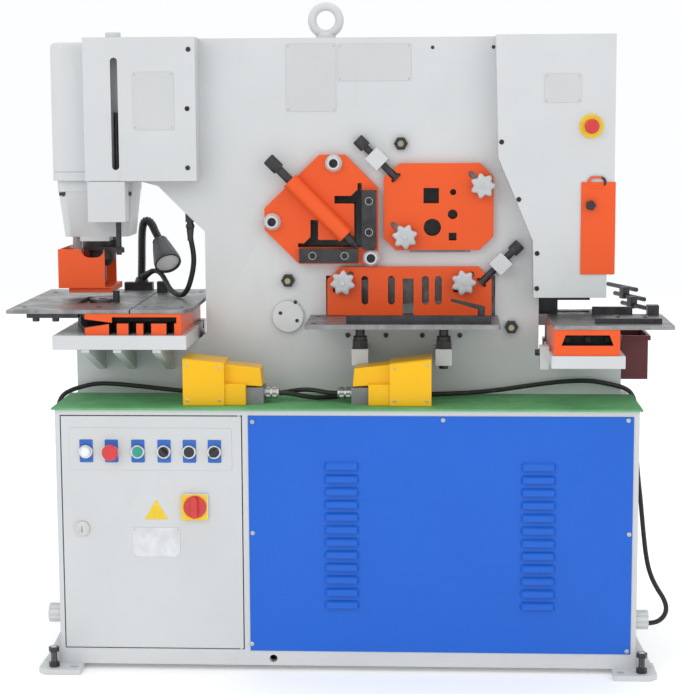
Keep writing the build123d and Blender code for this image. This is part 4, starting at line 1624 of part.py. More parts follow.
# Hose of the right pedal: behind the left pedal, over the left edge and down to the elbow
hose_left_points = [
    (GLAND_START, PEDAL_Y, GLAND_Z), (GLAND_START - 26, PEDAL_Y, GLAND_Z), (-80, -222, 717), (-113, -207, 717),
    (-148, -187, 709), (-190, -169, 700), (-243, -155, 694), (-305, -147, HOSE_Z), (-370, -143, 696),
    (-436, -137, 701), (-509, -128, 707), (-570, -118, 712), (-625, -112, 716), (-673, -110, 716),
    (-707, -115, 709), (-734, -128, 702), (-757, -142, 690), (-768, -146, 665), (-770, -138, 632),
    (-769, -120, 590), (-766, -97, 545), (-761, -71, 503), (-757, -43, 466), (ELBOW_X, ELBOW_Y, 438),
    (ELBOW_X, ELBOW_Y, ELBOW_TOP),
]
hose_left = cord(hose_left_points, HOSE_RADIUS, "hose_left")
hose_left.label = "hose_left"
export_step(hose_left, "parts/hose_left.step")

# Lead of the work lamp: from its collar on the throat's edge down to the table and up to the head
lamp_lead_points = [
    (COLLAR[0], COLLAR[1], COLLAR_Z[0]), (COLLAR[0], COLLAR[1], 1101), (-416, -54, 1072), (-414, -47, 1044),
    (-417, -42, 1016), (-424, -38, 988),
    (-433, -33, 962), (-447, -18, 944), (-464, 10, 940), (-483, 47, 942), (-500, 84, 950), (-514, 119, 963),
    (-526, 150, 975), (-539, 178, 984), (-553, 197, 990), (-568, 209, 987), LAMP_GLAND,
]
lamp_lead = cord(lamp_lead_points, LEAD_RADIUS, "lamp_lead")
lamp_lead.label = "lamp_lead"
export_step(lamp_lead, "parts/lamp_lead.step")
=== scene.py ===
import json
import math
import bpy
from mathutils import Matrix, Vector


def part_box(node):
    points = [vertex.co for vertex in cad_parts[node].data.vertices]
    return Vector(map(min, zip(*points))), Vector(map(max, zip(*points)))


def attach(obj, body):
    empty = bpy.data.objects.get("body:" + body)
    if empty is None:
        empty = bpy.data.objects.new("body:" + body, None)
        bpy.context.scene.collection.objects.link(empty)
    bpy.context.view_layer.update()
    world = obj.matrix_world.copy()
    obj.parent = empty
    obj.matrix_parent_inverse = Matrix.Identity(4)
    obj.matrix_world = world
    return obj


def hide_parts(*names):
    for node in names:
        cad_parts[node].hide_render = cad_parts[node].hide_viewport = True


bl_info = {
    "name": "Hydraulic ironworker",
    "version": (1, 0, 0),
    "blender": (4, 5, 0),
    "location": "View3D > Sidebar > Ironworker",
    "description": "Gives the ironworker's solids their finishes and adds its small parts",
    "category": "Object",
}

import bmesh
import bpy
import numpy as np
from bpy.props import FloatProperty, FloatVectorProperty, PointerProperty
from mathutils import Matrix, Vector

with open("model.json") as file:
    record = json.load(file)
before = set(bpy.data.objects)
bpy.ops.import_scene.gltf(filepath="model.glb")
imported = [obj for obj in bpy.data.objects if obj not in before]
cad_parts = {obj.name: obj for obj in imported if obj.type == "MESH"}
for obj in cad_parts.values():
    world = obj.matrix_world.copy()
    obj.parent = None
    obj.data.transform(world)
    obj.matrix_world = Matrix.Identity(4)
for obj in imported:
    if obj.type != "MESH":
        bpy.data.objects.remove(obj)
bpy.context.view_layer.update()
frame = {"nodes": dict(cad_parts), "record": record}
NODES = frame["nodes"]
BODY_OF = {node: body for body, members in frame["record"]["behaviour"]["bodies"].items() for node in members}
MM = 0.001
TURN = 2 * math.pi
ON_AXIS = 1e-6  # millimetres: a smaller radius is a pole and gets no ripple
SEAM = 1e-6  # metres: points nearer than this are joined
NO_LENGTH = 1e-7
CAD_SEAM = 2e-6
FLAT = math.radians(1.0)
EDGE_ANGLE = math.radians(30)
STEEL = ("machine", "blackened_steel")


# Surfaces


class Shape:
    """Points as an array of rows and faces as lists of their numbers."""

    def __init__(self, points, faces):
        self.points = np.asarray(points, dtype=float).reshape(-1, 3)
        self.faces = faces

    def __add__(self, other):
        shift = len(self.points)
        moved = [tuple(i + shift for i in face) for face in other.faces]
        return Shape(np.vstack((self.points, other.points)), list(self.faces) + moved)

    def at(self, origin=(0, 0, 0), along=(0, 0, 1), turn=0.0):
        """The shape with its own Z laid along a direction and its origin at a point. Along the default
        direction it is also turned half round Z, which matters for a shape whose own origin isn't its
        middle."""
        z = Vector(along).normalized()
        matrix = Matrix.Translation(origin) @ z.to_track_quat("Z", "Y").to_matrix().to_4x4()
        matrix = np.array(matrix @ Matrix.Rotation(turn, 4, "Z"))
        return Shape(self.points @ matrix[:3, :3].T + matrix[:3, 3], self.faces)


def together(shapes):
    """One shape of several."""
    total = Shape(np.zeros((0, 3)), [])
    for shape in shapes:
        total = total + shape
    return total


def sheet_of(points, close_u=False, close_v=False):
    """Quads over a grid of points: u runs along the first index and v along the second."""
    rows, columns = points.shape[:2]
    u, v = np.meshgrid(np.arange(rows - (not close_u)), np.arange(columns - (not close_v)), indexing="ij")
    next_u, next_v = (u + 1) % rows, (v + 1) % columns
    corners = np.stack((u * columns + v, next_u * columns + v, next_u * columns + next_v,
                        u * columns + next_v), -1)
    return Shape(points.reshape(-1, 3), [tuple(face) for face in corners.reshape(-1, 4).tolist()])


def turned(profile, segments=48, ripple=None):
    """A profile of radius and height carried round Z: x = r cos a, y = r sin a, z = h. A ripple adds to r
    at each angle and height."""
    profile = np.asarray(profile, dtype=float)
    angle = np.linspace(0, TURN, segments, endpoint=False)[:, None]
    radius = np.broadcast_to(profile[None, :, 0], (segments, len(profile))).copy()
    height = np.broadcast_to(profile[None, :, 1], radius.shape)
    if ripple is not None:
        radius = radius + ripple(angle, height) * (radius > ON_AXIS)
    return sheet_of(np.stack((radius * np.cos(angle), radius * np.sin(angle), height), -1), close_u=True)


def prism(outline, depth, hole=None):
    """A flat outline in X and Y carried along Z by a depth, with both ends closed. A hole is a ring of as
    many points inside the outline."""
    ring = np.asarray(outline, dtype=float)
    count = len(ring)
    if hole is None:
        low = np.column_stack((ring, np.zeros(count)))
        high = np.column_stack((ring, np.full(count, depth)))
        side = sheet_of(np.stack((low, high)), close_v=True)
        return Shape(side.points, side.faces + [tuple(range(count)),
                                                tuple(range(2 * count - 1, count - 1, -1))])
    inner = np.asarray(hole, dtype=float)
    loops = [(ring, 0.0), (ring, depth), (inner, depth), (inner, 0.0)]
    grid = np.stack([np.column_stack((loop, np.full(count, z))) for loop, z in loops])
    return sheet_of(grid, close_u=True, close_v=True)


def rounded_outline(width, height, radius, steps=6):
    """Four quarter arcs of one radius about the inner corners of a rectangle."""
    angle = np.concatenate([np.linspace(a, a + TURN / 4, steps)
                            for a in (0, TURN / 4, TURN / 2, 3 * TURN / 4)])
    side_x = np.repeat([1, -1, -1, 1], steps) * (width / 2 - radius)
    side_y = np.repeat([1, 1, -1, -1], steps) * (height / 2 - radius)
    return np.column_stack((side_x + radius * np.cos(angle), side_y + radius * np.sin(angle)))


def circle(radius, steps=32):
    """Points at equal angles on a circle."""
    angle = np.linspace(0, TURN, steps, endpoint=False)
    return np.column_stack((radius * np.cos(angle), radius * np.sin(angle)))


def pipe(path, radius, segments):
    """A ring carried along a path: each ring lies square to the path, in frames that turn as little as they
    can. The radius is one number or one for each point."""
    path = np.asarray(path, dtype=float)
    tangent = np.gradient(path, axis=0)
    tangent /= np.linalg.norm(tangent, axis=1)[:, None]
    side = np.zeros_like(path)
    first = np.cross(tangent[0], (0.3, 0.5, 0.8))
    side[0] = first / np.linalg.norm(first)
    for i in range(1, len(path)):
        across = side[i - 1] - tangent[i] * np.dot(side[i - 1], tangent[i])
        side[i] = across / np.linalg.norm(across)
    other = np.cross(tangent, side)
    angle = np.linspace(0, TURN, segments, endpoint=False)
    radius = np.broadcast_to(np.asarray(radius, dtype=float), len(path))[:, None, None]
    ring = np.cos(angle)[None, :, None] * side[:, None, :] + np.sin(angle)[None, :, None] * other[:, None, :]
    grid = path[:, None, :] + radius * ring
    skin = sheet_of(grid, close_v=True)
    last = (len(path) - 1) * segments
    ends = [tuple(range(segments - 1, -1, -1)), tuple(last + i for i in range(segments))]
    return Shape(skin.points, skin.faces + ends)


def brick(low, high):
    """A closed block between two corners. It lands with the signs of X and Y changed, because at() turns
    it."""
    (x0, y0, z0), (x1, y1, z1) = low, high
    return prism([(x0, y0), (x1, y0), (x1, y1), (x0, y1)], z1 - z0).at((0, 0, z0))


def six_sided(across, steps=24):
    """A hexagon as points at equal angles: the radius is half the width over the cosine of the angle to the
    nearest flat's middle."""
    angle = np.linspace(0, TURN, steps, endpoint=False)
    radius = across / 2 / np.cos((angle + TURN / 12) % (TURN / 6) - TURN / 12)
    return np.column_stack((radius * np.cos(angle), radius * np.sin(angle)))


def rod(radius, length):
    """A closed round bar with small chamfers, its profile carried round Z."""
    c = min(0.8, radius / 6)
    return turned([(0, 0), (radius - c, 0), (radius, c), (radius, length - c), (radius - c, length),
                   (0, length)],
                  28)


def threaded(radius, length, pitch, start=0.0):
    """A screw thread: the radius falls by 0.6 of the pitch and rises again once each pitch of height less
    its share of the turn."""
    heights = np.arange(0, length, pitch / 6)
    profile = [(0, 0)] + [(radius, h) for h in heights] + [(radius, length), (0, length)]
    return turned(profile, 24, lambda angle, height: -0.6 * pitch * np.abs(
        2 * ((height / pitch - angle / TURN) % 1) - 1)).at((0, 0, start))


def knurled(radius, length, flutes, depth, start=0.0):
    """A round head with flutes: the radius dips by a cosine of the angle times the number of flutes, and
    fades out at both chamfers."""
    profile = [(0, 0), (radius - 2, 0), (radius, 2), (radius, length / 2), (radius, length - 2),
               (radius - 2, length), (radius * 0.45, length), (radius * 0.4, length - 1.5), (0, length - 1.5)]
    return turned(profile, 4 * flutes, lambda angle, height: depth * (np.cos(flutes * angle) - 1) * np.clip(
        np.minimum(height, length - height), 0, 2) / 2).at((0, 0, start))


def socket_screw(radius, height, socket):
    """A screw head with a six-sided socket: a ring between a circle and a hexagon over a closed floor."""
    floor = height * 0.45
    ring = prism(circle(radius, 24), height - floor, hole=six_sided(socket)).at((0, 0, floor))
    return prism(circle(radius, 24), floor) + ring


def button_head(radius, height):
    """A low domed screw head with a cross-shaped dip: the dome is a quarter ellipse, and the dip falls
    where the angle is near an arm of the cross."""
    sunk = 0.55
    arc = [(radius * math.sin(a), height * math.cos(a)) for a in np.linspace(0.12, TURN / 4, 9)]
    dome = turned([(0, height * sunk), *arc, (0, 0)], 32)
    x, y, z = dome.points.T
    near = np.minimum(np.abs(x), np.abs(y)) < radius * 0.14
    dip = near & (np.hypot(x, y) < radius * 0.62) & (z > 0)
    return Shape(np.column_stack((x, y, np.where(dip, z * sunk, z))), dome.faces)


def washer(outer, inner, thickness):
    """A flat ring with a hole, its rectangle of section carried round Z."""
    return turned([(inner, 0), (outer - 0.5, 0), (outer, 0.5), (outer, thickness - 0.5),
                   (outer - 0.5, thickness),
                   (inner, thickness), (inner, 0)], 40)


def star_knob(radius, lobes, height, boss):
    """A lobed knob: the radius is a share f of the height, times a mean plus an eighth of a cosine of the
    angle times the number of lobes, over a round boss."""
    share = np.array([(0, 0), (0.40, 0), (0.42, boss), (0.80, boss), (0.94, boss + 2), (1.0, boss + 6),
                      (1.0, height - 7), (0.95, height - 3), (0.82, height - 0.8), (0.5, height),
                      (0, height)])
    wave = np.where(share[:, 1] > boss - 0.01, np.clip((share[:, 0] - 0.45) / 0.4, 0, 1), 0)
    angle = np.linspace(0, TURN, 16 * lobes, endpoint=False)[:, None]
    lobe = 0.875 + 0.125 * np.cos(lobes * angle)
    r = radius * share[None, :, 0] * (1 + wave[None, :] * (lobe - 1))
    z = np.broadcast_to(share[None, :, 1], r.shape)
    return sheet_of(np.stack((r * np.cos(angle), r * np.sin(angle), z), -1), close_u=True)


def smooth_path(points, steps=24):
    """A curve through points: on each span the cubic whose slopes at the ends are half the step between the
    neighbours."""
    p = np.asarray(points, dtype=float)
    slope = np.gradient(p, axis=0)
    t = np.linspace(0, 1, steps, endpoint=False)[:, None]
    spans = [(2 * t**3 - 3 * t**2 + 1) * a + (t**3 - 2 * t**2 + t) * m + (3 * t**2 - 2 * t**3) * b
             + (t**3 - t**2) * n for a, b, m, n in zip(p, p[1:], slope, slope[1:])]
    return np.vstack(spans + [p[-1:]])


def bead(start, end, radius, pitch=5.0):
    """A weld bead: a pipe whose radius swells once each pitch, with a slow wander along its length."""
    start, end = np.asarray(start, dtype=float), np.asarray(end, dtype=float)
    length = float(np.linalg.norm(end - start))
    s = np.linspace(0, 1, max(12, int(length / pitch * 6)))
    radii = radius * (1 + 0.16 * np.cos(TURN * s * length / pitch) + 0.08 * np.sin(7 * s)) * np.clip(
        np.minimum(s, 1 - s) * length / radius + 0.4, 0, 1)
    return pipe(start + (end - start) * s[:, None], radii, 12)


def front(shape, x, y, z, turn=0.0):
    """A shape whose own Z faces the front, at a place."""
    return shape.at((x, y, z), (0, -1, 0), turn)


# Pieces


def finish_mesh(mesh):
    """Closes seams and poles, drops faces with no area and turns faces outwards."""
    work = bmesh.new()
    work.from_mesh(mesh)
    bmesh.ops.remove_doubles(work, verts=work.verts, dist=SEAM)
    bmesh.ops.dissolve_degenerate(work, edges=work.edges, dist=NO_LENGTH)
    bmesh.ops.recalc_face_normals(work, faces=work.faces)
    work.to_mesh(mesh)
    work.free()


def piece(name, shape, finish, body, slot, replaces=(), bevel=0.0, smooth=35.0):
    """A new mesh object from a shape in millimetres, riding on a body."""
    mesh = bpy.data.meshes.new(name)
    mesh.from_pydata((shape.points * MM).tolist(), [], shape.faces)
    finish_mesh(mesh)
    return dressed(name, mesh, finish, body, replaces, bevel, smooth)


def dressed(name, mesh, finish, body, replaces=(), bevel=0.0, smooth=35.0):
    """Links a mesh as an object with its finish, bevel and smooth shading, and parents it to its body's empty.
    """
    obj = bpy.data.objects.new(name, mesh)
    bpy.context.scene.collection.objects.link(obj)
    mesh.materials.append(FINISHES[finish])
    mesh.shade_smooth()
    if bevel:
        edge = obj.modifiers.new("Edges", "BEVEL")
        edge.width = bevel * MM
        edge.segments = 2
        edge.limit_method = "ANGLE"
        edge.angle_limit = EDGE_ANGLE
        edge.harden_normals = True
    mesh.set_sharp_from_angle(angle=math.radians(smooth))
    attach(obj, body)
    if replaces:
        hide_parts(*replaces)
    return obj


def softened(node, bevel):
    """A copy of a node's solid with its triangles joined into faces and its edges rounded, in the node's
    place."""
    source = NODES[node]
    work = bmesh.new()
    work.from_mesh(source.data)
    bmesh.ops.remove_doubles(work, verts=work.verts, dist=CAD_SEAM)
    bmesh.ops.dissolve_limit(work, angle_limit=FLAT, verts=work.verts, edges=work.edges)
    mesh = bpy.data.meshes.new(node)
    work.to_mesh(mesh)
    work.free()
    return dressed(node + "_body", mesh, NODE_FINISH[node], BODY_OF[node], (node,), bevel)


def second_finish(obj, finish, boxes):
    """Gives a second finish to the faces whose middle lies in one of the boxes, in millimetres."""
    mesh = obj.data
    mesh.materials.append(FINISHES[finish])
    middle = np.empty(len(mesh.polygons) * 3)
    mesh.polygons.foreach_get("center", middle)
    middle = middle.reshape(-1, 3) / MM
    chosen = np.zeros(len(middle), dtype=np.int32)
    for low, high in boxes:
        chosen |= np.all((middle > low) & (middle < high), axis=1)
    mesh.polygons.foreach_set("material_index", chosen)


# Shader nodes written as expressions


class Wire:
    """An output socket on which arithmetic adds Math nodes."""

    def __init__(self, finish, socket):
        self.finish = finish
        self.socket = socket

    def maths(self, operation, first, second):
        return self.finish.node("ShaderNodeMath", {"operation": operation}, {0: first, 1: second})

    def __add__(self, other):
        return self.maths("ADD", self, other)

    def __rsub__(self, other):
        return self.maths("SUBTRACT", other, self)

    def __mul__(self, other):
        return self.maths("MULTIPLY", self, other)

    def within(self, low, high, start=0.0, end=1.0):
        """0 to 1, or start to end, as the value goes from low to high."""
        sockets = {"Value": self, "From Min": low, "From Max": high, "To Min": start, "To Max": end}
        return self.finish.node("ShaderNodeMapRange", {"interpolation_type": "SMOOTHSTEP"}, sockets)


class Finish:
    """A material with one Principled shader and the nodes that feed it."""

    def __init__(self, name, **fixed):
        self.material = bpy.data.materials.new(name)
        self.material.use_nodes = True
        self.tree = self.material.node_tree
        self.shader = self.tree.nodes["Principled BSDF"]
        for socket, value in fixed.items():
            self.shader.inputs[socket.replace("_", " ")].default_value = value
        self.place = self.node("ShaderNodeTexCoord", output="Object")

    def node(self, kind, settings=None, sockets=None, output=0):
        new = self.tree.nodes.new(kind)
        for key, value in (settings or {}).items():
            setattr(new, key, value)
        for key, value in (sockets or {}).items():
            if isinstance(value, Wire):
                self.tree.links.new(value.socket, new.inputs[key])
            else:
                new.inputs[key].default_value = value
        return Wire(self, new.outputs[output])

    def feed(self, socket, wire):
        self.tree.links.new(wire.socket, self.shader.inputs[socket])

    def stretched(self, x, y, z):
        return self.node("ShaderNodeMapping", sockets={"Vector": self.place, "Scale": (x, y, z)})

    def noise(self, scale, detail=4.0, rough=0.55, twist=0.0, place=None):
        sockets = {"Vector": place or self.place, "Scale": scale, "Detail": detail, "Roughness": rough,
                   "Distortion": twist}
        return self.node("ShaderNodeTexNoise", sockets=sockets)

    def mix(self, mask, first, second):
        return self.node("ShaderNodeMix", {"data_type": "RGBA"}, {0: mask, 6: first, 7: second}, output=2)

    def rounded(self, radius):
        return self.node("ShaderNodeBevel", {"samples": 4}, {"Radius": radius})

    def edges(self, radius):
        """How far the rounded normal turns away from the face, 0 on the flat and more at an edge."""
        face = self.node("ShaderNodeNewGeometry", output="True Normal")
        dot = self.node("ShaderNodeVectorMath", {"operation": "DOT_PRODUCT"},
                        {0: self.rounded(radius), 1: face},
                        output="Value")
        return 1 - dot

    def bump(self, height, distance, strength, radius):
        sockets = {"Height": height, "Distance": distance, "Strength": strength, "Normal": self.rounded(radius)}
        self.feed("Normal", self.node("ShaderNodeBump", sockets=sockets))


def colour(red, green, blue):
    return (red, green, blue, 1.0)


PRIMER = colour(0.17, 0.16, 0.15)
RUST = colour(0.16, 0.075, 0.03)
WORN_STEEL = colour(0.55, 0.55, 0.54)
RUBBED_OXIDE = colour(0.32, 0.31, 0.3)


def paint(name, tone, rough=0.32, dirt=0.35, chips=0.35, peel=0.00012, grime=(0.16, 0.12, 0.08)):
    """Sprayed enamel: orange peel, soft unevenness, dirt in the low-frequency patches and chips along the
    edges."""
    f = Finish(name, Coat_Weight=0.04, Coat_Roughness=0.12, Specular_IOR_Level=0.3)
    cloud = f.noise(2.6, 5, 0.6)
    spray = f.noise(260, 2, 0.5)
    smear = f.noise(9, 7, 0.65, 0.6, f.stretched(1, 1, 0.35))
    edge = f.edges(0.003)
    worn = (edge.within(0.05, 0.3) * f.noise(75, 5, 0.7).within(0.5, 0.72)) * chips
    soil = smear.within(0.56, 0.82) * dirt * 0.35
    body = f.mix(cloud.within(0.3, 0.7), colour(*tone), colour(*[c * 0.94 for c in tone]))
    stained = f.mix(soil, body, colour(*grime))
    f.feed("Base Color", f.mix(worn, stained, PRIMER))
    f.feed("Roughness", cloud.within(0.3, 0.7, rough - 0.03, rough + 0.05) + soil * 0.4)
    f.bump(spray + worn * -1.5, peel, 0.5, 0.0012)
    return f.material


def steel_plate(name, tone, rough=0.42, rust=0.25, lines=(900, 12, 12), metal=0.85):
    """Bare plate: mill scale in clouds, brush lines along one axis, brighter edges and patches of rust."""
    f = Finish(name)
    scale = f.noise(14, 8, 0.68, 0.8)
    brushed = f.noise(1.0, 3, 0.6, 0, f.stretched(*lines))
    edge = f.edges(0.002).within(0.03, 0.3)
    brown = f.noise(26, 7, 0.7, 1.2).within(0.56, 0.75) * rust
    body = f.mix(scale.within(0.3, 0.7), colour(*[c * 0.62 for c in tone]), colour(*tone))
    bright = f.mix(edge * 0.7, body, WORN_STEEL)
    f.feed("Base Color", f.mix(brown, bright, RUST))
    f.feed("Roughness", scale.within(0.25, 0.75, rough + 0.12, rough - 0.1) + brown * 0.3)
    f.feed("Metallic", brown.within(0, 0.4, metal, metal - 0.35))
    f.bump(brushed + scale * 0.6, 0.00012, 0.6, 0.0007)
    return f.material


def black_oxide(name, tone=(0.028, 0.028, 0.03), rough=0.38):
    """Blackened tool steel with bright metal where edges have rubbed."""
    f = Finish(name, Metallic=0.55)
    cloud = f.noise(38, 6, 0.65)
    rubbed = f.edges(0.0015).within(0.05, 0.35) * cloud.within(0.45, 0.7)
    f.feed("Base Color", f.mix(rubbed * 0.5, f.mix(cloud.within(0.3, 0.7), colour(*tone),
                                                   colour(*[c * 1.9 for c in tone])), RUBBED_OXIDE))
    f.feed("Roughness", cloud.within(0.3, 0.7, rough - 0.08, rough + 0.14))
    f.bump(f.noise(320, 3, 0.6), 0.0001, 0.5, 0.0006)
    return f.material


def bright_metal(name, tone, rough=0.18, lines=(700, 700, 60)):
    """Plated or polished metal with fine polishing lines."""
    f = Finish(name, Metallic=1.0)
    cloud = f.noise(30, 4, 0.6)
    fine = f.noise(1.0, 2, 0.6, 0, f.stretched(*lines))
    f.feed("Base Color", f.mix(cloud.within(0.3, 0.7), colour(*tone), colour(*[c * 0.85 for c in tone])))
    f.feed("Roughness", cloud.within(0.3, 0.7, rough, rough + 0.1))
    f.bump(fine, 0.00004, 0.4, 0.0005)
    return f.material


def moulded(name, tone, rough=0.35, grain=420, depth=0.00006, coat=0.0):
    """Moulded plastic: a fine grain and a slightly uneven gloss."""
    f = Finish(name, Coat_Weight=coat, Coat_Roughness=0.08)
    cloud = f.noise(18, 5, 0.6)
    f.feed("Base Color", f.mix(cloud.within(0.35, 0.7), colour(*tone), colour(*[c * 0.86 for c in tone])))
    f.feed("Roughness", cloud.within(0.3, 0.7, rough - 0.05, rough + 0.08))
    f.bump(f.noise(grain, 2, 0.5), depth, 0.5, 0.0006)
    return f.material


def rubber(name, tone, rough=0.62, wear=0.4):
    """Rubber with a dry bloom and pale scuffs."""
    f = Finish(name, Specular_IOR_Level=0.35)
    cloud = f.noise(6, 8, 0.7, 0.4)
    scuffs = f.noise(1.0, 6, 0.7, 0.3, f.stretched(30, 90, 30)).within(0.56, 0.78) * wear
    body = f.mix(cloud.within(0.3, 0.7), colour(*tone), colour(*[c * 0.72 for c in tone]))
    pale = colour(*[min(1.0, 0.25 + 0.6 * c) for c in tone])
    f.feed("Base Color", f.mix(scuffs, body, pale))
    f.feed("Roughness", cloud.within(0.3, 0.7, rough - 0.08, rough + 0.1))
    f.bump(f.noise(160, 4, 0.6), 0.0002, 0.5, 0.001)
    return f.material


def plain_floor(name, tone):
    """A pale studio sheet with a faint unevenness."""
    f = Finish(name, Specular_IOR_Level=0.2)
    cloud = f.noise(0.7, 3, 0.5)
    f.feed("Base Color", f.mix(cloud, colour(*tone), colour(*[c * 0.985 for c in tone])))
    f.shader.inputs["Roughness"].default_value = 0.7
    f.shader.inputs["Emission Color"].default_value = colour(1, 1, 1)
    f.shader.inputs["Emission Strength"].default_value = 0.12
    return f.material


def clear_lens(name, tone, glow=0.0):
    """A pale moulded lens, ribbed by its shape."""
    f = Finish(name, Roughness=0.12, Coat_Weight=0.5)
    cloud = f.noise(60, 3, 0.5)
    f.feed("Base Color", f.mix(cloud, colour(*tone), colour(*[c * 0.9 for c in tone])))
    if glow:
        f.shader.inputs["Emission Color"].default_value = colour(*tone)
        f.shader.inputs["Emission Strength"].default_value = glow
    return f.material


def make_finishes(sizes):
    """Every finish of the machine by name."""
    white, blue, orange = sizes.white, sizes.blue, sizes.orange
    return {
        "white": paint("white_enamel", white, 0.33, 0.3, 0.25),
        "cabinet_white": paint("cabinet_enamel", [c * 0.99 for c in white], 0.35, 0.25, 0.2),
        "blue": paint("blue_enamel", blue, 0.30, 0.15, 0.25, grime=(0.02, 0.05, 0.16)),
        "orange": paint("orange_enamel", orange, 0.36, 0.55, 0.9, grime=(0.10, 0.03, 0.015)),
        "yellow": paint("yellow_enamel", sizes.yellow, 0.30, 0.35, 0.5, grime=(0.22, 0.12, 0.02)),
        "maroon": paint("maroon_enamel", (0.11, 0.022, 0.026), 0.4, 0.4, 0.6, grime=(0.04, 0.02, 0.02)),
        "plate": steel_plate("table_plate", (0.34, 0.345, 0.35), 0.44, 0.35),
        "arm": steel_plate("arm_plate", (0.30, 0.30, 0.30), 0.5, 0.5),
        "blade": steel_plate("ground_blade", (0.26, 0.26, 0.26), 0.38, 0.12, (16, 16, 700)),
        "black": black_oxide("black_oxide"),
        "jet": moulded("black_plastic", (0.018, 0.018, 0.02), 0.28),
        "grey": moulded("grey_plastic", (0.20, 0.205, 0.21), 0.45),
        "pale": moulded("pale_knob", (0.50, 0.52, 0.53), 0.24, 240, 0.00008, 0.3),
        "red": moulded("red_plastic", (0.62, 0.02, 0.018), 0.22, 300, 0.00003, 0.4),
        "green": moulded("green_plastic", (0.0, 0.30, 0.22), 0.22, 300, 0.00003, 0.4),
        "signal_yellow": moulded("yellow_plastic", (0.85, 0.58, 0.01), 0.35, 300, 0.00003, 0.2),
        "legend": moulded("legend_blue", (0.02, 0.13, 0.50), 0.4, 300, 0.00003),
        "chrome": bright_metal("plated_brass", (0.72, 0.72, 0.71), 0.14),
        "zinc": bright_metal("zinc_plate", (0.62, 0.62, 0.60), 0.3),
        "aluminium": bright_metal("label_aluminium", (0.72, 0.73, 0.74), 0.38, (900, 900, 14)),
        "mat": rubber("green_mat", (0.13, 0.42, 0.16), 0.6, 0.3),
        "hose": rubber("black_hose", (0.018, 0.018, 0.018), 0.5, 0.15),
        "lens": clear_lens("lamp_lens", (0.80, 0.81, 0.80), 0.12),
        "pilot": clear_lens("pilot_lens", (0.80, 0.84, 0.84)),
        "floor": plain_floor("studio_floor", (0.97, 0.97, 0.97)),
        "brass": bright_metal("stud_brass", (0.36, 0.33, 0.22), 0.3),
        "shade": moulded("lamp_shade", (0.05, 0.052, 0.055), 0.35),
        "blank": paint("blank_label", (0.56, 0.57, 0.575), 0.4, 0.12, 0.1),
        # painted shade: a near-black finish laid on the insides of the bolsters' grooves and recesses, standing
        # in for the shade that falls there
        "painted_shade": moulded("painted_shade_inside", (0.012, 0.012, 0.013), 0.7),
    }


FINISHES = {}
NODE_FINISH = {
    "cabinet": "cabinet_white", "blue_panel": "blue", "rubber_mat": "mat", "frame_plate_front": "white",
    "frame_plate_rear": "white", "pivot_shaft": "white", "fixed_tooling": "blade", "angle_plate": "orange",
    "angle_rests": "black", "star_knobs": "pale", "mid_table": "plate", "punch_cylinder": "white",
    "punch_casting": "white", "punch_bed": "white", "punch_bolster": "orange", "punch_table": "plate",
    "left_cover": "white", "right_cover": "white", "shear_cylinder": "arm", "notch_bed": "white",
    "notch_bolster": "orange", "notch_table": "plate", "table_gauges": "black", "scrap_box": "maroon",
    "lifting_eye": "white", "work_lamp": "jet", "hydraulic_unit": "cabinet_white", "electric_panel": "grey",
    "fasteners": "black", "pedal_hoods": "yellow", "pedal_bases": "grey", "door": "cabinet_white",
    "door_fittings": "chrome", "door_lock": "zinc", "stop_button": "red", "start_button": "green",
    "jog_button": "jet", "selector_left": "jet", "selector_right": "jet", "main_switch": "red",
    "emergency_button": "red", "punch_ram": "black", "punch": "blade", "stripper_box": "orange",
    "shear_arm": "arm", "moving_blades": "blade", "notch_slide": "black", "shear_piston": "chrome",
    "angle_spindle": "black", "section_plate": "orange", "section_screw": "black", "flat_plate": "orange",
    "flat_screw": "black", "table_fence": "black", "notch_guard": "orange", "treadle_left": "grey",
    "treadle_right": "grey", "hose_left": "hose", "hose_right": "hose", "lamp_lead": "hose",
}


class MachineSizes(bpy.types.PropertyGroup):
    """Colours of the machine's finishes."""

    white: FloatVectorProperty(name="White enamel", description="Colour of the frame and covers",
                               subtype="COLOR",
                               size=3, default=(0.60, 0.615, 0.62))
    blue: FloatVectorProperty(name="Blue enamel", description="Colour of the louvred panel", subtype="COLOR",
                              size=3, default=(0.008, 0.115, 0.58))
    orange: FloatVectorProperty(name="Orange enamel", description="Colour of the tool plates",
                                subtype="COLOR",
                                size=3, default=(0.80, 0.095, 0.014))
    yellow: FloatVectorProperty(name="Yellow enamel", description="Colour of the foot pedals",
                                subtype="COLOR",
                                size=3, default=(0.88, 0.48, 0.002))


class StageSizes(bpy.types.PropertyGroup):
    """The studio and its camera."""

    eye: FloatVectorProperty(name="Camera", description="Place of the camera", subtype="TRANSLATION",
                             unit="LENGTH",
                             size=3, default=(0.224, -4.720, 1.425))
    yaw: FloatProperty(name="Yaw", description="Turn of the view to the left", subtype="ANGLE",
                       default=math.radians(3.01))
    pitch: FloatProperty(name="Pitch", description="Tilt of the view below the horizon", subtype="ANGLE",
                         default=math.radians(7.53))
    roll: FloatProperty(name="Roll", description="Turn of the view about its own axis", subtype="ANGLE",
                        default=math.radians(-0.30))
    focal: FloatProperty(name="Focal length", description="Focal length over a 36 mm frame", unit="CAMERA",
                         default=91.71)
    light: FloatProperty(name="Light", description="Strength of the studio light", default=1.0, min=0.0)


class IRONWORKER_OT_finishes(bpy.types.Operator):
    """Makes every finish and gives each solid its own"""

    bl_idname = "ironworker.finishes"
    bl_label = "Finishes"

    def execute(self, context):
        FINISHES.update(make_finishes(context.scene.ironworker_sizes))
        for node, finish in NODE_FINISH.items():
            obj = NODES[node]
            if not obj.material_slots:
                obj.data.materials.append(None)
            for slot in obj.material_slots:
                slot.material = FINISHES[finish]
        return {"FINISHED"}


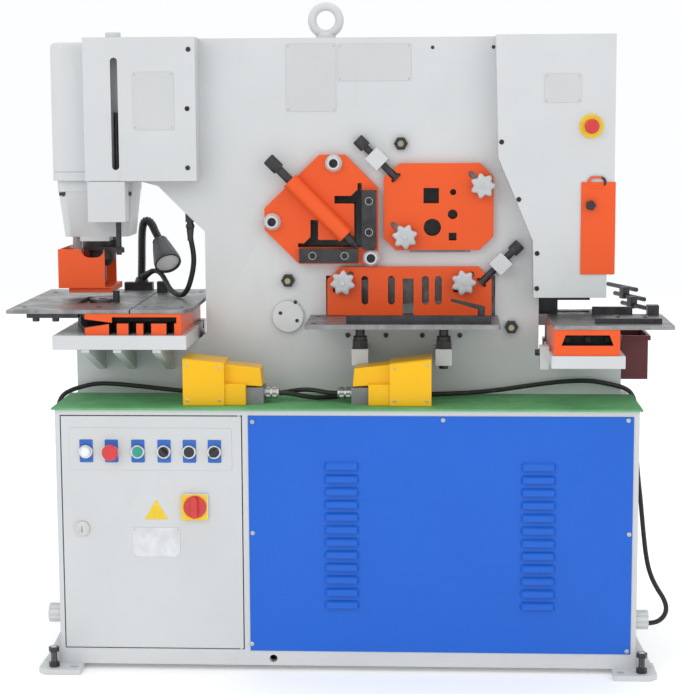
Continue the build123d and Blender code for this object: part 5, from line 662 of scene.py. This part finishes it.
SOFTENED = {
    "cabinet": 1.5, "frame_plate_front": 1.5, "frame_plate_rear": 1.5, "punch_casting": 3.0,
    "punch_cylinder": 1.5, "left_cover": 0.6, "right_cover": 0.6, "door": 0.8, "punch_bed": 1.5,
    "punch_bolster": 1.2, "punch_table": 0.8, "notch_bed": 1.5, "stripper_box": 1.2, "notch_guard": 0.8,
    "lifting_eye": 0.8, "scrap_box": 0.8, "pedal_bases": 1.0, "blue_panel": 0.5, "table_gauges": 0.8,
    "angle_rests": 0.8, "pivot_shaft": 1.2, "table_fence": 0.8, "work_lamp": 0.4, "hydraulic_unit": 1.5,
    "electric_panel": 0.8, "shear_cylinder": 1.0, "rubber_mat": 1.2, "fixed_tooling": 0.5,
    "notch_bolster": 1.2, "notch_table": 0.8, "mid_table": 0.8, "angle_plate": 1.0, "section_plate": 1.0,
    "flat_plate": 1.0, "pedal_hoods": 3.0,
}


SECOND = {
    "notch_guard": ("jet", [((600, -175, 1247.2), (690, -140, 1290)),
                            ((608, -172, 1171), (642, -151.05, 1205))]),
    # painted shade: the notch bolster's front recess gets the near-black finish in place of its shade
    "notch_bolster": ("painted_shade", [((543, -321.5, 846), (673, -281, 874))]),
    "notch_bed": ("black", [((480, -240, 770), (494.9, -180, 840))]),
    # painted shade: the punch bolster's front groove and recesses get the near-black finish in place of their
    # shade
    "punch_bolster": ("painted_shade", [((-602, -291.5, 867), (-433, -231, 915)),
                               ((-735, -291.5, 869), (-588, -161, 921.5))]),
    "punch_table": ("black", [((-816, -286, 895), (-680, -252, 921.9))]),
    "punch_casting": ("black", [((-767, -93, 1212), (-745, -71, 1223.9)),
                                ((-595, -93, 1212), (-573, -71, 1223.9))]),
}


class IRONWORKER_OT_rounding(bpy.types.Operator):
    """Rounds the edges of the plates, covers and castings"""

    bl_idname = "ironworker.rounding"
    bl_label = "Rounded edges"

    def execute(self, context):
        for node, bevel in SOFTENED.items():
            copy = softened(node, bevel)
            if node in SECOND:
                second_finish(copy, *SECOND[node])
        return {"FINISHED"}


HOSE_RIGHT = [
    (-176, -228, 711), (-150, -228, 711), (-118, -222, 703), (-86, -207, 695), (-50, -186, 693),
    (-8, -168, 694), (45, -153, 693), (110, -143, 694), (178, -137, 693), (250, -130, 694),
    (325, -121, 696), (395, -113, 702), (460, -108, 711), (520, -104, 719), (580, -102, 725),
    (638, -101, 726), (690, -94, 715), (724, -80, 705), (746, -64, 689), (758, -56, 662), (761, -56, 620),
    (759, -68, 570), (760, -94, 516), (761, -131, 470), (763, -170, 424), (767, -205, 350),
    (773, -235, 279), (783, -254, 240), (797, -271, 213), (813, -284, 190), (820, -290, 167),
    (815, -290, 147), (800, -290, 132), (782, -290, 127), (772, -290, 127),
]
HOSE_LEFT = [
    (-21, -228, 711), (-47, -228, 711), (-80, -222, 717), (-113, -207, 717), (-148, -187, 709),
    (-190, -169, 700), (-243, -155, 694), (-305, -147, 693), (-370, -143, 696), (-436, -137, 701),
    (-509, -128, 707), (-570, -118, 712), (-625, -112, 716), (-673, -110, 716), (-707, -115, 709),
    (-734, -128, 702), (-757, -142, 690), (-768, -146, 665), (-770, -138, 632), (-769, -120, 590),
    (-766, -97, 545), (-761, -71, 503), (-757, -43, 466), (-755, -20, 438), (-755, -20, 410),
]
LAMP_LEAD = [
    (-421, -60, 1125), (-421, -60, 1101), (-416, -54, 1072), (-414, -47, 1044), (-417, -42, 1016),
    (-424, -38, 988), (-433, -33, 962), (-447, -18, 944), (-464, 10, 940), (-483, 47, 942), (-500, 84, 950),
    (-514, 119, 963), (-526, 150, 975), (-539, 178, 984), (-553, 197, 990), (-568, 209, 987),
    (-583, 221, 978),
]


def hose(name, points, diameter, node):
    """A free hose on one smooth curve that has its route's points as control points."""
    curve = bpy.data.curves.new(name, "CURVE")
    curve.dimensions = "3D"
    curve.bevel_depth = diameter / 2
    curve.bevel_resolution = 5
    curve.resolution_u = 10
    curve.use_fill_caps = True
    line = curve.splines.new("NURBS")
    line.points.add(len(points) - 1)
    flat = [c for x, y, z in points for c in (x * MM, y * MM, z * MM, 1.0)]
    line.points.foreach_set("co", flat)
    line.order_u = 3
    line.use_endpoint_u = True
    obj = bpy.data.objects.new(name, curve)
    bpy.context.scene.collection.objects.link(obj)
    curve.materials.append(FINISHES["hose"])
    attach(obj, "machine")
    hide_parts(node)
    return obj


class IRONWORKER_OT_hoses(bpy.types.Operator):
    """Lays the two pedal hoses and the lamp's lead"""

    bl_idname = "ironworker.hoses"
    bl_label = "Hoses and lead"

    def execute(self, context):
        hose("pedal_hose_right", HOSE_RIGHT, 0.012, "hose_right")
        hose("pedal_hose_left", HOSE_LEFT, 0.012, "hose_left")
        hose("lamp_cord", LAMP_LEAD, 0.014, "lamp_lead")
        return {"FINISHED"}


PANEL_Y = -322.0
DOOR_Y = -320.0
COVER_Y = -147.0
PLATE_Y = -75.0
TOOL_Y = -95.0
BUTTONS_X = (-661, -596, -528, -461, -396, -332)
STUDS = ((351, 1237), (149, 1105), (-14, 985), (302, 985))


class IRONWORKER_OT_fasteners(bpy.types.Operator):
    """Adds the screw heads, washers, stud ends and foot threads"""

    bl_idname = "ironworker.fasteners"
    bl_label = "Screws and nuts"

    def execute(self, context):
        panel = [(-235, 651), (-237, 363), (-242, 71), (248, 657), (712, 658), (718, 366), (717, 61)]
        piece("panel_screws", together(front(button_head(6, 3.2), x, PANEL_Y, z, 0.4 * i)
                                       for i, (x, z) in enumerate(panel)), "zinc", *STEEL)
        covers = [(-407, 1590), (-412, 1439), (-413, 1287), (397, 1350), (442, 1203), (490, 1064), (490, 973)]
        piece("cover_screws", together(front(button_head(6.5, 3.4), x, COVER_Y, z, 0.7 * i)
                                       for i, (x, z) in enumerate(covers)), "black", *STEEL)
        cap = [(-181, 902), (-137, 882), (-141, 931)]
        piece("pivot_screws", together(front(button_head(5, 2.6), x, -87, z, i) for i,
                                       (x, z) in enumerate(cap)),
              "black", *STEEL)
        low = [(-3, 842), (98, 842), (194, 842), (293, 842)]
        piece("blade_screws", together(front(socket_screw(6.5, 4, 6), x, PLATE_Y, z) for x, z in low),
              "black", *STEEL, bevel=0.4)
        angle = [(-37, 1296), (-199, 1144), (60, 1049)]
        cup = turned([(15.2, 0), (22.4, 0), (22.9, 0.6), (22.9, 4.6), (19, 14), (16, 22.6), (11.6, 22.8),
                      (11.5, 22.1),
                      (15.2, 22.0)], 48)
        piece("angle_washers", together(front(cup, x, TOOL_Y, z) for x, z in angle), "white", *STEEL)
        guides = [(138, 1346), (-160, 988), (428, 865)]
        piece("stud_ends", together(front(threaded(8.2, 24.6, 1.8), x, PLATE_Y, z) for x, z in guides),
              "brass", *STEEL)
        feet = [(sx * 752, sy * 348) for sx in (-1, 1) for sy in (-1, 1)]
        piece("foot_threads", together(threaded(8.2, 66.2, 2).at((x, y, 0)) for x, y in feet),
              "zinc", *STEEL)
        flange = [(-756, -82), (-584, -82)]
        piece("flange_washers", together(washer(11, 6, 1.6).at((x, y, 1224), (0, 0, -1)) for x, y in flange),
              "zinc", *STEEL)
        table = [(x, y, 932) for x in (-835, -640, -520, -425) for y in (-215, 170)]
        table += [(-80, -270, 896), (165, -285, 896), (-80, -110, 896)]
        piece("table_screws", together(socket_screw(7, 0.8, 7).at(place) for place in table),
              "black", *STEEL)
        return {"FINISHED"}


class IRONWORKER_OT_door(bpy.types.Operator):
    """Adds the control plate, the legend plates, the bezel rings, the pilot lens and the switch, triangle and
    rating plates to the door
    """

    bl_idname = "ironworker.door"
    bl_label = "Door dressing"

    def execute(self, context):
        plate = prism(rounded_outline(416, 109, 5), 1.2)
        piece("control_plate", front(plate, -496, DOOR_Y, 579.5), "cabinet_white", "door_leaf", "white_paint",
              bevel=0.4)
        legend = prism(rounded_outline(34, 59, 3), 1.2, hole=rounded_outline(31.8, 31.8, 15.8))
        solid = together([prism(rounded_outline(34, 13, 2.5), 1.4).at((0, 22.5, 0)),
                          prism(rounded_outline(34, 13, 2.5), 1.4).at((0, -22.5, 0)), legend])
        piece("legend_plates", together(front(solid, x, DOOR_Y - 1.2, 574.5) for x in BUTTONS_X), "legend",
              "door_leaf", "black_plastic", bevel=0.3)
        rings = turned([(13.4, 0), (17.3, 0), (17.4, 9), (16.4, 12.4), (14.2, 12.6), (13.4, 11)], 48,
                       lambda a, h: 0.25 * np.cos(36 * a) * ((h > 1) & (h < 10)))
        piece("bezel_rings", together(front(rings, x, DOOR_Y, 574) for x in BUTTONS_X), "chrome", "door_leaf",
              "chromed")
        lens = turned([(0, 21), (6, 20.6), (10.5, 19), (13, 15.5), (13.2, 11), (0, 11)], 48,
                      lambda a, h: 0.35 * np.cos(24 * a) * (h < 19.5))
        piece("pilot_lens", front(lens, -661, DOOR_Y, 574), "pilot", "door_leaf", "chromed")
        back = prism(rounded_outline(67, 67, 4.5), 9, hole=rounded_outline(56, 56, 27.8))
        piece("switch_plate", front(back, -385, DOOR_Y, 430), "signal_yellow", "door_leaf", "red_plastic",
              bevel=0.5)
        triangle = [(34 * math.cos(a) * 1.02, 34 * math.sin(a) - 6)
                    for a in (TURN / 4, 7 * TURN / 12, 11 * TURN / 12)]
        piece("plain_triangle", front(prism(triangle, 0.8), -484, DOOR_Y, 420), "signal_yellow", "door_leaf",
              "white_paint", bevel=0.2)
        rating = prism(rounded_outline(122, 76, 2), 1.0)
        rivets = together(button_head(2.4, 1.4).at((x, y, 1)) for x in (-56, 56) for y in (-33, 33))
        piece("rating_plate", front(rating + rivets, -485, DOOR_Y, 337), "aluminium", "door_leaf",
              "white_paint",
              bevel=0.2)
        return {"FINISHED"}


class IRONWORKER_OT_plates(bpy.types.Operator):
    """Adds the bare label places, the plugs, the rests' screws, the stop's yellow disc and the welds"""

    bl_idname = "ironworker.plates"
    bl_label = "Label places and welds"

    def execute(self, context):
        places = [("data_plate_left", 131, 175, -96.5, PLATE_Y, 1517.5),
                  ("data_plate_right", 192, 96, 69, PLATE_Y, 1556),
                  ("left_label", 107, 148, -499.5, COVER_Y, 1459),
                  ("right_label", 95, 74, 552, COVER_Y, 1486)]
        for name, width, height, x, y, z in places:
            blank = prism(rounded_outline(width, height, 3), 0.9)
            rivets = together(button_head(2.4, 1.4).at((sx * (width / 2 - 6), sy * (height / 2 - 6), 0.8))
                              for sx in (-1, 1) for sy in (-1, 1))
            piece(name, front(blank + rivets, x, y, z), "blank", "machine", "white_paint", bevel=0.2)
        plug = turned([(0, 1.8), (3, 1.7), (4.5, 1.0), (4.8, 0), (0, 0)], 24)
        piece("plugs", together(front(plug, x, PLATE_Y, 1593) for x in (220, 377)), "jet", "machine",
              "black_plastic")
        disc = turned([(12, 0), (30, 0), (31, 0.8), (31, 2.2), (30.2, 3), (12, 3)], 64)
        rests = [(55, 1117), (55, 1198), (-93, 1055.5), (-9, 1055.5)]
        ring = turned([(8.8, 0), (10.3, 0), (10.3, 0.5), (9.8, 0.8), (9.2, 0.7), (8.8, 0.3)], 40)
        piece("rest_screws", together(front(socket_screw(8.4, 8.6, 8), x, -105, z) for x, z in rests),
              "black",
              *STEEL, bevel=0.3)
        piece("rest_rings", together(front(ring, x, -115, z) for x, z in rests), "zinc", *STEEL)
        piece("stop_disc", front(disc, 625, COVER_Y, 1389), "signal_yellow", "machine", "red_plastic")
        seams = []
        for x in (11.5, 54.5, 228.5, 271.5):
            seams.append(bead((x, PLATE_Y - 1, 776), (x, PLATE_Y - 1, 819), 3))
        for x0, x1 in ((12, 54), (229, 271)):
            seams.append(bead((x0, PLATE_Y - 1, 776), (x1, PLATE_Y - 1, 776), 3))
        for side in (-1, 1):
            for y in (-300, -292):
                seams.append(bead((side * 741, y, 16), (side * 741, y, 98), 2.2))
        seams.append(bead((-725, PLATE_Y - 2, 832), (-405, PLATE_Y - 2, 832), 3.2))
        seams.append(bead((522, PLATE_Y - 2, 789), (698, PLATE_Y - 2, 789), 3.2))
        seams.append(bead((-45, 0, 1620.5), (-77, 0, 1620.5), 3))
        piece("weld_beads", together(seams), "white", "machine", "white_paint")
        return {"FINISHED"}


class IRONWORKER_OT_knobs(bpy.types.Operator):
    """Makes the star knobs, the knurled heads and the threads of the screws"""

    bl_idname = "ironworker.knobs"
    bl_label = "Knobs and screws"

    def execute(self, context):
        knob = star_knob(33, 7, 32, 8) + turned([(0, 32.2), (7, 32.2), (8.5, 31.4), (8.5, 30), (0, 30)], 32)
        stud = rod(6, 30)
        knobs = together(front(knob, x, TOOL_Y, z, 0.3 * i) + front(stud, x, -45.5, z) + front(rod(6, 22), x,
                                                                                               -73, z)
                         for i, (x, z) in enumerate(STUDS))
        piece("lobed_knobs", knobs, "pale", "machine", "light_plastic", ("star_knobs",), smooth=50)
        inserts = together(front(socket_screw(5.2, 2.4, 4.5), x, TOOL_Y - 31.6, z) for x, z in STUDS)
        piece("knob_inserts", inserts, "zinc", "machine", "light_plastic")
        out = Vector((-1, 0, 1)) / math.sqrt(2)
        up = Vector((1, 0, 1)) / math.sqrt(2)
        piece("spindle_grip", knurled(16.6, 40, 28, 0.5, 142.6).at((-78, -114.5, 1180), out), "black",
              "spindle",
              "blackened_steel", smooth=50)
        grip = knurled(15.6, 30.6, 26, 0.5, 111.7) + threaded(9.3, 74, 2.5, 36)
        piece("section_grip", grip.at((125, -90, 1258), out), "black", "section_turn", "blackened_steel",
              smooth=50)
        piece("flat_grip", grip.at((349, -90, 984), up), "black", "flat_turn", "blackened_steel", smooth=50)
        jack = prism(six_sided(38), 22) + prism(six_sided(33), 12).at((0, 0, 20))
        piece("jack_nuts", together(jack.at((x, -163, 819)) for x in (33, 250)), "black", *STEEL, bevel=0.8)
        lever = turned([(0, 0), (9, 0.5), (11, 3), (11, 8), (9, 11), (0, 12)], 32)
        piece("lever_ball", lever.at((345, -240, 896)), "jet", "fence", "blackened_steel")
        return {"FINISHED"}


class IRONWORKER_OT_lamp(bpy.types.Operator):
    """Makes the lamp's ribbed neck, finned head and lens"""

    bl_idname = "ironworker.lamp"
    bl_label = "Work lamp"

    def execute(self, context):
        neck = smooth_path([(-603, 237, 960), (-601, 236.5, 1013), (-600, 236, 1060), (-597, 233, 1104),
                            (-589, 229, 1126), (-573, 223, 1124), (-558, 216, 1098), (-548, 214, 1078)], 40)
        along = np.concatenate(([0], np.cumsum(np.linalg.norm(np.diff(neck, axis=0), axis=1))))
        piece("lamp_neck", pipe(neck, 11.0 + 0.8 * np.cos(TURN * along / 5.5), 20), "jet", "machine",
              "black_plastic")
        aim = (0.344, -0.682, -0.646)
        foot = (-545, 213, 1072)
        shell = [(0, -4), (12, -4), (17, -2), (21.6, 1), (21.6, 6), (25, 20), (29, 38), (33, 58), (36.8, 74),
                 (37.6, 77), (37.6, 90.6), (36.6, 91.6), (33.2, 91.6), (32.8, 86), (32.6, 84.4)]
        head = turned(shell, 72, lambda a, h: 0.7 * np.cos(18 * a) * np.clip(
            np.minimum(h - 8, 66 - h) / 6, 0, 1)).at(foot, aim)
        piece("lamp_shade", head, "shade", "machine", "black_plastic")
        glass = turned([(0, 88.2), (12, 88.0), (24, 86.9), (32.7, 85), (32.7, 84), (0, 84)],
                       64).at(foot, aim)
        piece("lamp_glass", glass, "lens", "machine", "black_plastic")
        gland = turned([(7, 0), (11.5, 0.5), (11.5, 9), (10, 11), (9.4, 18), (8.2, 30), (7.6, 42),
                        (7.1, 44)], 36,
                       lambda a, h: 0.35 * np.cos(12 * a) * ((h > 1) & (h < 9)))
        piece("lead_boots", gland.at((-421, -60, 1136), (0, 0, -1)) + gland.at((-597, 232, 969.6),
                                                                               (15, -12, 9)),
              "jet", "machine", "black_rubber")
        return {"FINISHED"}


class IRONWORKER_OT_pedals(bpy.types.Operator):
    """Adds the glands and the screws of the pedals"""

    bl_idname = "ironworker.pedals"
    bl_label = "Pedals"

    def execute(self, context):
        gland = (prism(six_sided(27), 11).at((0, 0, 3.5)) + turned([(0, 0), (12, 0), (12, 36), (9, 38),
                                                                    (0, 38)], 40,
                 lambda a, h: 0.3 * np.cos(TURN * h / 2.2)) + prism(six_sided(27), 11).at((0, 0, 20.5)))
        left = gland.at((-211, -228, 711), (1, 0, 0))
        right = gland.at((14, -228, 711), (-1, 0, 0))
        piece("pedal_glands", left + right, "zinc", "machine", "chromed", bevel=0.5)
        screws = together(button_head(5, 2.4).at((x, y, 694)) for x in (-398, 201) for y in (-273, -183))
        piece("base_screws", screws, "zinc", "machine", "grey_plastic")
        sides = [front(button_head(4, 2), x, -287, z) for x in (-404, 207) for z in (700, 792)]
        sides += [front(button_head(4, 2), x, -287, z) for x in (-322, 125) for z in (700, 784)]
        piece("hood_screws", together(sides), "zinc", "machine", "yellow_paint")
        return {"FINISHED"}


class IRONWORKER_OT_interior(bpy.types.Operator):
    """Adds the terminals inside the cabinet"""

    bl_idname = "ironworker.interior"
    bl_label = "Inside the cabinet"

    def execute(self, context):
        low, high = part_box("electric_panel")
        x0, x1, y0, z0 = (v / MM for v in (low[0], high[0], low[1], low[2]))
        count, margin, gap = 8, 30, 4
        pitch = (x1 - x0 - 2 * margin) / count
        strips = [brick((x0 + margin + i * pitch, y0 - 6, z0 + 40),
                        (x0 + (margin - gap) + (i + 1) * pitch, y0 + 2, z0 + 62)) for i in range(count)]
        piece("terminals", together(strips), "grey", "machine", "grey_plastic", bevel=0.6)
        return {"FINISHED"}


def area_light(name, place, target, size, power, tone=(1, 1, 1)):
    """A soft rectangular light that points at a target."""
    light = bpy.data.lights.new(name, "AREA")
    light.shape = "RECTANGLE"
    light.size, light.size_y = size
    light.energy = power
    light.color = tone
    obj = bpy.data.objects.new(name, light)
    bpy.context.scene.collection.objects.link(obj)
    obj.location = place
    obj.rotation_euler = (Vector(target) - Vector(place)).to_track_quat("-Z", "Y").to_euler()


class IRONWORKER_OT_stage(bpy.types.Operator):
    """Sets the floor, the lights and the camera"""

    bl_idname = "ironworker.stage"
    bl_label = "Studio"

    def execute(self, context):
        stage, scene = context.scene.ironworker_stage, context.scene
        u, v = np.meshgrid(np.linspace(-9, 9, 40), np.linspace(-7, 9, 40), indexing="ij")
        floor = sheet_of(np.stack((u, v, np.zeros_like(u) - 0.0005), -1))
        mesh = bpy.data.meshes.new("floor")
        mesh.from_pydata(floor.points.tolist(), [], floor.faces)
        mesh.materials.append(FINISHES["floor"])
        sheet = bpy.data.objects.new("floor", mesh)
        scene.collection.objects.link(sheet)
        world = bpy.data.worlds.new("studio")
        world.use_nodes = True
        background = world.node_tree.nodes["Background"]
        background.inputs["Color"].default_value = colour(0.98, 0.99, 1.0)
        background.inputs["Strength"].default_value = stage.light
        scene.world = world
        area_light("key", (-2.6, -4.2, 3.6), (0, 0, 0.8), (2.6, 2.0), 40 * stage.light)
        area_light("fill", (3.2, -3.8, 2.2), (0, 0, 0.8), (2.4, 2.4), 16 * stage.light)
        area_light("top", (0, 0.4, 4.2), (0, 0, 0.8), (3.5, 2.5), 24 * stage.light)
        camera = bpy.data.cameras.new("camera")
        camera.lens = stage.focal
        camera.sensor_width = 36
        eye = bpy.data.objects.new("camera", camera)
        scene.collection.objects.link(eye)
        aim = Matrix.Rotation(stage.yaw, 4, "Z") @ Matrix.Rotation(math.pi / 2 - stage.pitch, 4, "X")
        eye.matrix_world = Matrix.Translation(stage.eye) @ aim @ Matrix.Rotation(stage.roll, 4, "Z")
        scene.camera = eye
        scene.view_settings.view_transform = "Standard"
        return {"FINISHED"}


STEPS = (
    IRONWORKER_OT_finishes,
    IRONWORKER_OT_rounding,
    IRONWORKER_OT_hoses,
    IRONWORKER_OT_fasteners,
    IRONWORKER_OT_door,
    IRONWORKER_OT_plates,
    IRONWORKER_OT_knobs,
    IRONWORKER_OT_lamp,
    IRONWORKER_OT_pedals,
    IRONWORKER_OT_interior,
    IRONWORKER_OT_stage,
)


class IRONWORKER_PT_panel(bpy.types.Panel):
    """Lists the steps that dress the machine"""

    bl_idname = "IRONWORKER_PT_panel"
    bl_label = "Ironworker"
    bl_space_type = "VIEW_3D"
    bl_region_type = "UI"
    bl_category = "Ironworker"

    def draw(self, context):
        for settings in (context.scene.ironworker_sizes, context.scene.ironworker_stage):
            for name in settings.__annotations__:
                self.layout.prop(settings, name)
        for step in STEPS:
            self.layout.operator(step.bl_idname)


CLASSES = (MachineSizes, StageSizes, *STEPS, IRONWORKER_PT_panel)


def register():
    for cls in CLASSES:
        bpy.utils.register_class(cls)
    bpy.types.Scene.ironworker_sizes = PointerProperty(type=MachineSizes)
    bpy.types.Scene.ironworker_stage = PointerProperty(type=StageSizes)


def unregister():
    del bpy.types.Scene.ironworker_stage
    del bpy.types.Scene.ironworker_sizes
    for cls in reversed(CLASSES):
        bpy.utils.unregister_class(cls)


def main():
    register()
    for step in STEPS:
        group, name = step.bl_idname.split(".")
        getattr(getattr(bpy.ops, group), name)()
    bpy.context.view_layer.update()


if __name__ == "__main__":
    main()
